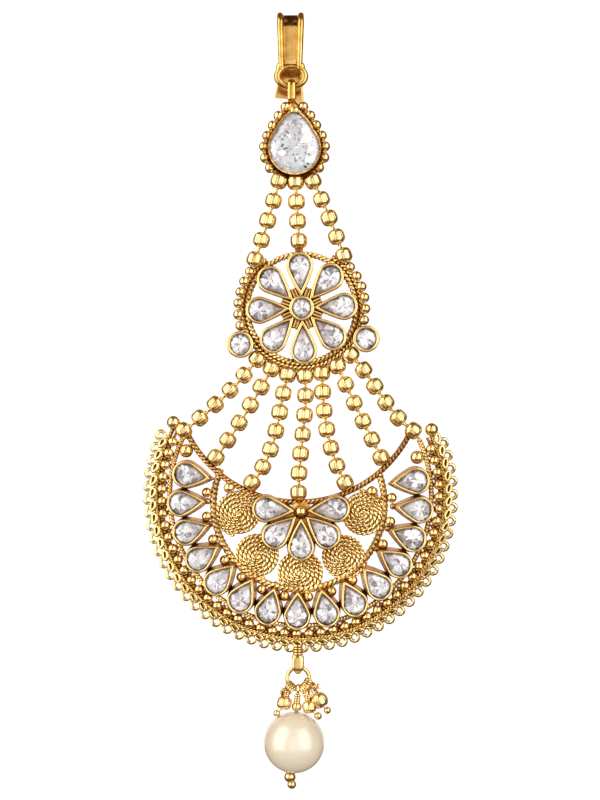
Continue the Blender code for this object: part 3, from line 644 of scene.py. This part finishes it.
CRESCENT_BEADS = [
    polar(BAR_CENTRE, 21.0 if abs(angle) > 60 else 19.05, angle)
    for angle in (-65.4, -46.1, -24.0, 0.0, 24.0, 46.1, 65.4)
]


def bowed_route(start, end, first_sway, second_sway):
    """The chain's smooth front view curve, through two swayed points at its thirds."""
    start, end = np.array(start), np.array(end)
    run = end - start
    side = np.array((-run[1], run[0])) / np.linalg.norm(run)
    first = start + run / 3 + side * first_sway
    second = start + run * 2 / 3 + side * second_sway
    knots = np.array((start, first, second, end))
    places = np.linspace(0, 3, 241)
    route = np.zeros((len(places), 2))
    for this in range(4):
        weight = np.ones(len(places))
        for other in range(4):
            if other != this:
                weight *= (places - other) / (this - other)
        route += weight[:, None] * knots[this]
    return route


class Route:
    """A chain's path and the even places of its beads, with both soldered ends."""

    def __init__(self, row, start, end):
        self.name, self.beads, first, second = row
        flat = bowed_route(start, end, first, second)
        self.path = np.stack((flat[:, 0], np.full(len(flat), BACK_Y - BEAD_DEPTH), flat[:, 1]), -1)
        steps = np.linalg.norm(np.diff(self.path, axis=0), axis=1)
        self.run = np.concatenate(([0.0], np.cumsum(steps)))
        self.pitch = self.run[-1] / (self.beads - 1)

    def at(self, distance):
        return np.array([np.interp(distance, self.run, self.path[:, axis]) for axis in range(3)])

    def heading(self, distance):
        return unit(self.at(min(distance + 0.2, self.run[-1])) - self.at(max(distance - 0.2, 0.0)))


ROUTES = [Route(row, *ends) for row, *ends in zip(UPPER_CHAINS, SETTING_BEADS, MEDALLION_TOP_BEADS)]
ROUTES += [Route(row, *ends) for row, *ends in zip(LOWER_CHAINS, MEDALLION_LOW_BEADS, CRESCENT_BEADS)]


def end_beads(shape, routes, last):
    """The soldered first or last bead of each chain, in line with it."""
    for route in routes:
        distance = route.run[-1] if last else 0.0
        fluted_bead(shape, route.at(distance), route.heading(distance), slot=BEAD)


def dress_chain(route):
    shape = Shape()
    for index in range(1, route.beads - 1):
        distance = route.pitch * index
        radius = BEAD_RADIUS * dice.uniform(0.97, 1.01)
        fluted_bead(shape, route.at(distance), route.heading(distance), radius)
    inset = BEAD_HALF_LENGTH * 0.93
    for index in range(route.beads - 1):
        stops = np.linspace(route.pitch * index + inset, route.pitch * (index + 1) - inset, 9)
        waist = 0.32 + 0.06 * np.cos(np.linspace(0, math.tau, len(stops)))
        sweep(shape, [route.at(stop) for stop in stops], waist, 10)
    piece = shape.build(f"beads_{route.name}", "pendant", (BEAD_GOLD,), (f"chain_{route.name}",), 28)


# Hook, jump ring and pearl drop

def dress_hook():
    """The ribbed strap with rounded edges, a strip of painted shade below its crown, solder, and its oval
    ring.
    """
    shape = Shape()
    crown = HOOK_CROWN
    stations = [(-crown, z, -90.0) for z in np.linspace(FRONT_LEG_END, -crown, 8)]
    for angle in np.linspace(6, 174, 29):
        turn = math.radians(angle)
        stations.append((-crown * math.cos(turn), CROWN_RISE * math.sin(turn) - crown, angle - 90.0))
    stations += [(crown, z, 90.0) for z in np.linspace(-crown - 0.5, BACK_LEG_END, 12)]
    right = [(x / STRAP_HALF, lift) for x, lift in STRAP_PROFILE]
    profile = right + [(0.0, 0.0)] + [(-x, lift) for x, lift in right[:0:-1]]
    rows = []
    shade_strip = []
    for y, z, angle in stations:
        turn = math.radians(angle)
        half = (STRAP_WIDTH - STRAP_TAPER * max(z, FRONT_LEG_END) / FRONT_LEG_END) / 2
        flare = max(0.0, (-9.0 - z) / 4.0) if y > 0 else 0.0
        half += 0.5 * flare
        outwards = np.array((0.0, math.sin(turn), math.cos(turn)))
        rows.append([
            np.array((x * half - 0.25 * flare, y, z - 0.4 * flare * x)) + lift * outwards
            for x, lift in profile
        ])
        # A dark strip of painted shade on the front, below the crown where the strap turns over
        if -90.0 < angle < -12.0:
            width = half * (0.5 - 0.12 * math.sin(2 * turn))
            shade_strip.append([
                np.array((x * width + 0.04, y, z)) + lift * outwards
                for x, lift in SHADE_STRIP_PROFILE
            ])
    shape.skin(rows)
    shape.skin(shade_strip, slot=2)
    turn = np.linspace(0, math.tau, 64, endpoint=False)
    half_width, half_height = 2.3, (4.25 - 0.83) / 2
    ring = np.stack((
        half_width * np.sin(turn) + 0.1,
        np.full(len(turn), HOOK_Y),
        HOOK_AXIS_Z + half_height * (1 - np.cos(turn)),
    ), -1)
    sweep(shape, ring, 0.45 + 0.12 * np.abs(np.sin(turn)), 14, closed=True)
    run = np.linspace(-0.98, 0.98, 17)
    swell = np.sqrt(1 - run * run)
    mound = np.stack((np.full(len(run), 0.05), np.full(len(run), -1.75), -7.55 + 1.25 * run), -1)
    sweep(shape, mound, 1.45 * swell, 28, slot=1, squash=0.32 * swell)
    for side in (-1, 1):
        ball(shape, (side * 1.65, -1.95, FRONT_LEG_END), 0.8, 24, scale=(0.95, 0.62, 1.0))
    piece = shape.build("hook_strap", "hook", (HOOK_GOLD, HOOK_SOLDER, HOOK_SHADE), ("hook",), 50)


def upright_loop(x, y, top, bottom, radius):
    """An oblong loop that stands edge on to the front."""
    steps = 24
    turn = np.linspace(0, math.pi, steps)
    upper = np.stack((np.full(steps, x), y + radius * np.cos(turn), top + radius * np.sin(turn)), -1)
    lower = np.stack((np.full(steps, x), y - radius * np.cos(turn), bottom - radius * np.sin(turn)), -1)
    return np.concatenate((upper, lower) if top != bottom else (upper[:-1], lower[:-1]))


def dress_jump_ring():
    shape = Shape()
    ring = arc((EYE_X + 0.06, JUMP_RING_Z), JUMP_RING_RADIUS, 0, 360, EYE_DEPTH, 0.18)[:-1]
    sweep(shape, ring, 0.33, 14, closed=True)
    shape.build("ring_wire", "drop_ring", (RIM_GOLD,), ("jump_ring",))


def pin_point(z):
    """Where the headpin runs at a height: it leans to the left as it goes down through the pearl."""
    lean_left = 0.62
    top = JUMP_RING_Z - JUMP_RING_RADIUS
    return np.array((EYE_X - lean_left * (z - top) / (PEARL_Z - top), BACK_Y - EYE_DEPTH, z))


def dress_drop():
    top = JUMP_RING_Z - JUMP_RING_RADIUS
    shape = Shape()
    radius = 0.77
    wire = 0.24
    sweep(shape, upright_loop(EYE_X, BACK_Y - EYE_DEPTH, top, top, radius), wire, 10, True, RIGHTWARDS)
    sweep(shape, [pin_point(z) for z in (top - radius, -113.6, -118.0, -122.0, -127.0)], wire, 10)
    wrap = WRAP_RADIUS * hoop(24, RIGHTWARDS, BACKWARDS)
    for turn in range(4):
        sweep(shape, pin_point(top - radius - 0.25 - 0.36 * turn) + wrap, 0.19, 8, True, UPWARDS)
    ball(shape, pin_point(-114.75), 0.83, 24)
    ball(shape, pin_point(-126.4) + np.array((-0.3, -0.1, 0.0)), 0.96, 26)
    ball(shape, pin_point(-127.7) + np.array((0.1, 0.0, 0.0)), 0.75, 22)
    shape.build("pin_and_beads", "drop", (BEAD_GOLD,), ("drop_pin",))

    pearl = Shape()
    axis = unit(pin_point(-120.0) - pin_point(-121.0))
    side = np.cross(axis, BACKWARDS)
    depth = np.cross(side, axis)
    bore = math.asin(PEARL_BORE / PEARL_RADIUS)
    girdle = hoop(96, side, depth)
    rows = [
        pin_point(PEARL_Z) + PEARL_RADIUS * (math.cos(tilt) * axis + math.sin(tilt) * girdle)
        for tilt in np.linspace(bore, math.pi - bore, 60)
    ]
    pearl.skin(rows, closed=True)
    pearl.build("pearl_skin", "drop", (PEARL,), ("pearl",), 70)


# The beads beside the pearl: place to the right of the eye, height and radius, a large and a small in turn
CLUSTER_LEFT = ((-2.25, -114.07, 1.16), (-3.5, -115.85, 0.58))
CLUSTER_RIGHT = ((1.9, -114.75, 1.12), (3.35, -116.3, 0.66), (3.6, -113.65, 1.32), (4.9, -115.35, 0.62))


def dress_cluster(name, turns, beads):
    """Wired beads hung from wraps round the jump ring. Each small bead ends the wire of a larger one."""
    shape = Shape()
    centre = place((EYE_X, JUMP_RING_Z), EYE_DEPTH)
    around = 28
    ring_wrap = 0.66
    knots = []
    for angle in turns:
        middle = place(polar((EYE_X, JUMP_RING_Z), JUMP_RING_RADIUS, angle), EYE_DEPTH)
        outwards = unit(middle - centre)
        across = np.cross(outwards, BACKWARDS)
        wrap = ring_wrap * hoop(around, outwards, BACKWARDS)
        for offset in (-0.56, -0.19, 0.19, 0.56):
            sweep(shape, middle + offset * across + wrap, 0.2, 8, True, across)
        knots.append(middle + ring_wrap * outwards)
        for _ in range(9):
            slip = middle + dice.uniform(0.35, 1.9) * outwards + dice.uniform(-0.45, 0.45) * across
            first = unit(dice.normal(size=3))
            second = unit(np.cross(first, dice.normal(size=3)))
            ring = slip + dice.uniform(0.28, 0.42) * hoop(around, first, second)
            sweep(shape, ring, 0.13, 6, True, np.cross(first, second))
    for (x, z, radius), (drop_x, drop_z, drop_radius), knot in zip(beads[::2], beads[1::2], knots):
        spot = place((EYE_X + x, z), EYE_DEPTH + 0.15)
        drop = place((EYE_X + drop_x, drop_z), EYE_DEPTH)
        fluted_bead(shape, spot, spot - knot, radius)
        ball(shape, drop, drop_radius, 20)
        way = unit(spot - knot)
        for start, end in ((knot, spot), (spot, drop)):
            sweep(shape, [start, (start * 2 + end) / 3, (start + end * 2) / 3, end], 0.24, 8)
        side = unit(np.cross(way, BACKWARDS))
        wrap = WRAP_RADIUS * hoop(around, side, np.cross(way, side))
        for step in range(3):
            wrap_at = spot - way * (radius + 0.1 + 0.3 * step)
            sweep(shape, wrap_at + wrap, 0.18, 8, True, way)
    shape.build(f"wired_{name}", "drop_ring", (BEAD_GOLD,), (name,), 30)


# Stone settings

CUP_FLARE = 0.24
GRAIN_RADIUS = 0.88
GRAIN_STEP = 1.9


def medallion_seats():
    """Petals, the middle stone and the two side stones, by the names of their stones."""
    seats = {}
    for index in range(8):
        angle = MEDALLION_LEAN + 45.0 * index
        centre = polar(MEDALLION_CENTRE, 7.08, angle)
        seats[f"petal_stone_{index + 1}"] = Seat(centre, angle, PETAL, wall=0.44)
    seats["centre_stone"] = Seat(MEDALLION_CENTRE, 0, MIDDLE_CUP, front=2.55)
    for name, angle in (("left", -62.0), ("right", 62.0)):
        centre = polar(MEDALLION_CENTRE, 11.85, MEDALLION_LEAN + angle)
        seats[f"side_stone_{name}"] = Seat(centre, 0, SIDE_CUP)
    return seats


def crescent_seats():
    """The crescent's stones, tilted most at its foot, and the raised fan, by the names of their stones."""
    seats = {}
    for index, angle in enumerate(spread(15, 14.1, CRESCENT_LEAN)):
        orbit = 19.35 if index in (0, 14) else 19.95
        tilt = 5.0 + 10.0 * max(0.0, math.cos(math.radians(angle)))
        seats[f"crescent_stone_{index + 1:02d}"] = Seat(
            polar(CRESCENT_CENTRE, orbit, angle), angle, CRESCENT_CUP, tilt=tilt, wall=0.4, flare=CUP_FLARE)
    for index, angle in enumerate(spread(5, 47.3)):
        seats[f"fan_stone_{index + 1}"] = Seat(
            polar(FAN_CENTRE, 5.92, angle), angle, FAN_CUP, 0.95, 1.6, 3.2, wall=0.36, flare=CUP_FLARE)
    return seats


def dress_stones(seats):
    for name, seat in seats.items():
        shape = Shape()
        cut_stone(shape, seat, seat.front - 0.5, seat.front - 0.12, 14, 0.6)
        shape.build(f"cut_{name}", "pendant", (STONE,), (name,), 0)


def strip_arc(shape, centre, profile, start, end, slot, spacing=0.4):
    """A profile of radius and depth pairs carried along an arc."""
    count = max(2, int(math.radians(abs(end - start)) * profile[0][0] / spacing))
    rows = [
        [place(polar(centre, radius, angle), depth) for radius, depth in profile]
        for angle in np.linspace(start, end, count)
    ]
    shape.skin(rows, slot=slot)


def turned(shape, centre, profile, step, slot=0):
    """A low round solid: a profile of radius and depth pairs turned about its centre."""
    rows = [
        [place(polar(centre, radius, angle), depth) for angle in np.arange(0, 360, step)]
        for radius, depth in profile
    ]
    shape.skin(rows, slot=slot)


def box_profile(inner, outer, back, front):
    """A strip's section, with its front edges softened."""
    soft = 0.08
    return (
        (inner, back), (outer, back), (outer, front - soft), (outer - soft, front), (inner + soft, front),
        (inner, front - soft),
    )


def dress_setting():
    """The top setting: its cup, a fine beaded rim, grains, bail and the three soldered beads."""
    shape = Shape()
    seat = Seat(SETTING_CENTRE, 0, TOP_CUP, 0.15, 1.0, 3.15, wall=0.26)
    bezel(shape, seat)
    rope(shape, seat.ring(0.12, 3.12, 300), 0.34, 0.55, closed=True, slot=ROPE)
    rim = Seat(SETTING_CENTRE, 0, TOP_RIM)
    line = rim.ring(0.0, WIRE_DEPTH, 600)
    steps = np.linalg.norm(np.diff(line, axis=0, append=line[:1]), axis=1)
    run = np.concatenate(([0.0], np.cumsum(steps)))
    sweep(shape, rim.ring(0.3, WIRE_DEPTH, 150), 0.5, 8, True, slot=SOLDER)
    ball(shape, place((0.45, -15.1), 1.4), 1.0, 24, CUP, scale=(0.95, 0.8, 1.0))
    ball(shape, place((0.68, -15.75), 3.2), 0.72, 24, RIM, scale=(0.95, 0.45, 0.85))
    for side in (-1, 1):
        for index in range(7):
            want = (side * (2.1 + GRAIN_STEP * index)) % run[-1]
            spot = line[int(np.searchsorted(run, want)) % len(line)]
            grain(shape, spot - 0.2 * BACKWARDS, GRAIN_RADIUS, 24)
    bail = upright_loop(0.2, HOOK_Y, HOOK_AXIS_Z, HOOK_AXIS_Z - 1.75, 0.895)
    sweep(shape, bail, 0.32, 14, True, RIGHTWARDS, BAIL, 2.1)
    end_beads(shape, ROUTES[:3], False)
    shape.build("setting_metal", "pendant", METALS, ("pear_setting",))

    stone = Shape()
    cut_stone(stone, seat, 2.75, 3.3, 20, 0.58)
    stone.build("cut_top_stone", "pendant", (CLEAR_STONE,), ("top_stone",), 0)


def dress_medallion():
    """Two rope rings with strips of solder between them, the cups, slim bars, grains and end beads."""
    shape = Shape()
    lean = MEDALLION_LEAN
    ring = arc(MEDALLION_CENTRE, 9.05, 0, 360, WIRE_DEPTH + 0.1)[:-1]
    rope(shape, ring, 1.0, 1.6, closed=True, slot=ROPE)
    outer = arc(MEDALLION_CENTRE, 9.95, lean - 146, lean + 146, WIRE_DEPTH)
    rope(shape, outer, 0.85, 1.5, slot=ROPE)
    strip_arc(shape, MEDALLION_CENTRE, box_profile(9.1, 10.4, 0.4, 0.8), lean - 147, lean + 147, SOLDER)
    strip_arc(shape, MEDALLION_CENTRE, box_profile(9.1, 10.6, 0.4, 0.9), lean + 176, lean + 184, CUP)
    strip_arc(shape, MEDALLION_CENTRE, box_profile(1.8, 3.2, 0.3, 1.0), 0, 360, CUP, 0.1)
    for seat in medallion_seats().values():
        bezel(shape, seat)
    bar_ends = ((1.9, 8), (3.35, 4.6))
    for angle in spread(8, 45.0, lean):
        for side in (-1, 1):
            start, end = (
                place(polar(MEDALLION_CENTRE, reach, angle + side * turn), 1.3) for reach, turn in bar_ends
            )
            sweep(shape, (start, (start + end) / 2, end), 0.29, 10, slot=RIM)
            ball(shape, end, 0.31, 10, RIM)
        ball(shape, place(polar(MEDALLION_CENTRE, 2.6, angle), 0.9), 0.55, 10, CUP)
    for side in (-1, 1):
        for index in range(6):
            angle = lean + side * (77.0 + 10.2 * index)
            grain(shape, place(polar(MEDALLION_CENTRE, 10.6, angle), 1.0), GRAIN_RADIUS, 22)
    end_beads(shape, ROUTES[:3], True)
    end_beads(shape, ROUTES[3:], False)
    shape.build("medallion_metal", "pendant", METALS, ("medallion_frame",))


def spiral(shape, centre):
    """A rope wound flat from its middle outwards, over a low dome."""
    pitch, turns, start = 0.69, 5.25, 0.9
    count = 1000
    wound = np.linspace(start, turns * math.tau, count) + dice.uniform(0, math.tau)
    radius = 0.12 + pitch * np.linspace(start / math.tau, turns, count)
    depth = 1.28 - 0.34 * (radius / 3.6) ** 2
    x, z = centre[0] + radius * np.cos(wound), centre[1] + radius * np.sin(wound)
    rope(shape, np.stack((x, BACK_Y - depth, z), -1), 0.7, 1.6, sides=8)
    dome = ((3.3, 0.3), (3.5, 0.35), (3.5, 0.65), (3.3, 0.72), (1.5, 0.95), (0.5, 1.0))
    turned(shape, centre, dome, 7.5)


def dress_spirals():
    shape = Shape()
    for angle in spread(5, 44.0):
        spiral(shape, polar(FAN_CENTRE, 10.35, angle))
    piece = shape.build("rope_spirals", "pendant", (COIL_GOLD,), ("crescent_frame",))


def dress_border():
    """The border: wide links lie along the rim, and between them round loops stand outwards."""
    shape = Shape()
    step = 4.96
    loop_orbit, loop_radius, tip = 25.3, 0.71, math.radians(14)
    link_orbit, link_length, link_width = 24.66, 0.76, 0.42
    for angle in spread(46, step, CRESCENT_LEAN):
        middle = place(polar(CRESCENT_CENTRE, loop_orbit, angle), 0.75)
        outwards = unit(middle - place(CRESCENT_CENTRE, 0.65))
        across = np.cross(outwards, BACKWARDS)
        facing = across * math.cos(tip) - BACKWARDS * math.sin(tip)
        ring = middle + loop_radius * hoop(20, outwards, facing)
        sweep(shape, ring, 0.32, 8, True, np.cross(outwards, facing))
        middle = place(polar(CRESCENT_CENTRE, link_orbit, angle + step / 2), 1.08)
        along = unit(across * 0.97 + outwards * 0.2)
        slant = unit(outwards * 0.9 + BACKWARDS * 0.3)
        ring = middle + hoop(20, link_length * along, link_width * slant)
        sweep(shape, ring, 0.26, 10, True, np.cross(along, slant))
    shape.build("loop_border", "pendant", (LACE_GOLD,), ("crescent_frame",))


def dress_crescent():
    """The rim with its open work and grains, the cups, the bar, the rope arc, the fan's base and the eye."""
    shape = Shape()
    lean = CRESCENT_LEAN
    for section, half, slot in (
        ((21.67, 22.05, 0.0, 1.15), 117.5, ROPE), ((23.95, 24.3, 0.0, 1.15), 117.5, ROPE),
        ((22.95, 23.4, 0.2, 0.65), 116, CUP), ((23.6, 24.05, 0.2, 0.65), 116, CUP),
    ):
        strip_arc(shape, CRESCENT_CENTRE, box_profile(*section), lean - half, lean + half, slot)
    for number, angle in enumerate(spread(45, 5.05, lean)):
        reach = [place(polar(CRESCENT_CENTRE, radius, angle), 0.5) for radius in (21.9, 22.5, 23.4, 24.1)]
        sweep(shape, reach, 0.34, 8, slot=CUP)
        for radius in (23.5, 22.6)[:1 + number % 2]:
            ball(shape, place(polar(CRESCENT_CENTRE, radius, angle + 2.52), 0.75), 0.36, 10, CUP)
        grain(shape, place(polar(CRESCENT_CENTRE, 23.05, angle), 1.0), 0.84, 22)
    for radius, width in ((21.78, 0.9), (23.95, 0.5)):
        rope(shape, arc(CRESCENT_CENTRE, radius, lean - 117, lean + 117, 1.1, 0.1), width, 1.1, slot=ROPE)
    solder = box_profile(24.1, 24.95, 0.25, 0.75)
    strip_arc(shape, CRESCENT_CENTRE, solder, lean - 112.5, lean + 112.5, SOLDER)
    for seat in crescent_seats().values():
        bezel(shape, seat)
    for angle in spread(15, 14.1, lean):
        ball(shape, place(polar(CRESCENT_CENTRE, 15.5, angle), 0.85), 0.55, 14, CUP)
    bar_half = 65.5
    strip_arc(shape, BAR_CENTRE, box_profile(20.25, 21.15, 0.2, 1.1), -bar_half, bar_half, CUP)
    rope(shape, arc(BAR_CENTRE, 20.7, -bar_half, bar_half, 1.2, 0.1), 0.92, 1.5, slot=SOLDER)
    rope(shape, arc(ROPE_ARC_CENTRE, 14.25, lean - 112, lean + 112, WIRE_DEPTH), 1.18, 1.65, slot=ROPE)
    for position, angle in enumerate(spread(14, 14.7, lean)):
        if position != 10:
            ball(shape, place(polar(ROPE_ARC_CENTRE, 15.5, angle), 1.0), 0.85, 22, BEAD)
    for orbit, angle, radius in ((20.4, 109.6, 1.15), (11.95, 94.4, 0.95), (24.4, 118.2, 1.12)):
        for side in (-1, 1):
            ball(shape, place(polar(CRESCENT_CENTRE, orbit, lean + side * angle), 1.1), radius, 26, BEAD)
    turned(shape, FAN_CENTRE, ((1.7, 1.1), (1.7, 1.6), (1.2, 2.0)), 15, CUP)
    strip_arc(shape, FAN_CENTRE, box_profile(1.2, 5.4, 0.9, 2.35), -97, 97, CUP, 0.1)
    ball(shape, place(FAN_CENTRE, 2.4), 0.96, 28, BEAD)
    end_beads(shape, ROUTES[3:], True)
    y = BACK_Y - EYE_DEPTH
    eye_radius = 0.95
    low = EYE_BOTTOM + eye_radius
    eye = upright_loop(EYE_X, y, low + 1.2, low, eye_radius)
    middle_z = low + 0.7
    swell = 3.2 - 1.8 * np.minimum(1.0, (np.abs(eye[:, 2] - middle_z) / 1.6) ** 3)
    sweep(shape, eye, 0.325, 16, True, RIGHTWARDS, COIL, swell)
    wrap = 0.62 * hoop(30, RIGHTWARDS, BACKWARDS)
    for height in np.arange(-106.3, -104.6, 0.42):
        sweep(shape, np.array((EYE_X, y, height)) + wrap, 0.23, 8, True, UPWARDS, ROPE)
    shape.build("crescent_metal", "pendant", METALS, ("crescent_frame",))


# The setting of the picture

def tent():
    """A pale floor that curves up into a round wall and a dome, all soft white."""
    reach, floor_z, bend, wall_top = 1.1, -0.34, 0.3, 0.1
    profile = [(0.02, floor_z), (reach - bend, floor_z)]
    for angle in range(10, 91, 10):
        turn = math.radians(angle)
        profile.append((reach - bend + bend * math.sin(turn), floor_z + bend - bend * math.cos(turn)))
    for angle in range(0, 90, 10):
        turn = math.radians(angle)
        profile.append((reach * math.cos(turn), wall_top + reach * math.sin(turn)))
    around = 64
    points = [
        (radius * math.cos(math.tau * step / around), radius * math.sin(math.tau * step / around), z)
        for radius, z in profile
        for step in range(around)
    ]
    faces = [
        (row * around + step, (row + 1) * around + step, (row + 1) * around + (step + 1) % around,
         row * around + (step + 1) % around)
        for row in range(len(profile) - 1)
        for step in range(around)
    ]
    faces += [tuple(range(around)), tuple(range(len(points) - around, len(points)))]
    mesh = bpy.data.meshes.new("tent")
    mesh.from_pydata(points, [], faces)
    mesh.shade_smooth()
    paper = Finish("pale_paper")
    shades = paper.ramp(paper.noise(PAPER_SCALE), (0.3, grey(0.16)), (0.7, grey(0.2)))
    paper.feed(paper.shader["Base Color"], shades)
    paper.settle({"Roughness": 0.9, "Emission Color": (1.0, 0.995, 0.99, 1), "Emission Strength": 0.86})
    paper.made.cycles.emission_sampling = "NONE"
    mesh.materials.append(paper.made)
    piece = bpy.data.objects.new("tent", mesh)
    bpy.context.scene.collection.objects.link(piece)
    piece.visible_glossy = False


def softbox(name, spot, size, radiance):
    """A lamp turned to the ornament's middle. The camera doesn't see it."""
    light = bpy.data.lights.new(name, "AREA")
    light.shape = "RECTANGLE"
    light.size, light.size_y = size
    light.energy = 4.0 * size[0] * size[1] * radiance
    lamp = bpy.data.objects.new(name, light)
    lamp.location = spot
    aim = Vector((0.0, 0.0, -0.065)) - Vector(spot)
    lamp.rotation_euler = aim.to_track_quat("-Z", "Y").to_euler()
    lamp.visible_camera = False
    bpy.context.scene.collection.objects.link(lamp)


def studio():
    """Two tall softboxes at the front, a dimmer card between them and one behind, in the white tent."""
    tent()
    softbox("left_box", (-0.50, -0.28, 0.10), (0.58, 1.0), 2.05)
    softbox("right_box", (0.40, -0.42, 0.09), (0.50, 0.95), 1.8)
    softbox("front_card", (0.0, -0.8, -0.1), (0.6, 0.8), 0.7)
    softbox("back_card", (0.0, 0.7, 0.1), (1.2, 0.9), 0.7)
    world = bpy.data.worlds.new("studio")
    world.use_nodes = True
    world.node_tree.nodes["Background"].inputs["Color"].default_value = (0.17, 0.115, 0.07, 1)
    world.node_tree.nodes["Background"].inputs["Strength"].default_value = 1.0
    bpy.context.scene.world = world


def camera():
    """Square on to the front, so near that the lower cups show their upper sides, as in the photograph."""
    distance = 0.28
    frame_height = 0.1333
    focus_depth = 0.0017
    middle_x, middle_z = 0.00158, -0.06367
    lens = bpy.data.cameras.new("camera")
    lens.sensor_width = 36.0
    lens.lens = lens.sensor_width * distance / frame_height
    lens.clip_start = 0.01
    view = bpy.data.objects.new("camera", lens)
    view.location = (middle_x, -focus_depth - distance, middle_z)
    view.rotation_euler = (math.radians(90), 0, 0)
    bpy.context.scene.collection.objects.link(view)
    bpy.context.scene.camera = view
    bpy.context.scene.view_settings.view_transform = "Standard"


camera()
studio()
dress_hook()
dress_setting()
dress_medallion()
dress_crescent()
dress_spirals()
dress_border()
dress_stones(medallion_seats())
dress_stones(crescent_seats())
for route in ROUTES:
    dress_chain(route)
dress_jump_ring()
dress_cluster("cluster_left", (-42.0,), CLUSTER_LEFT)
dress_cluster("cluster_right", (34.0, 62.0), CLUSTER_RIGHT)
dress_drop()
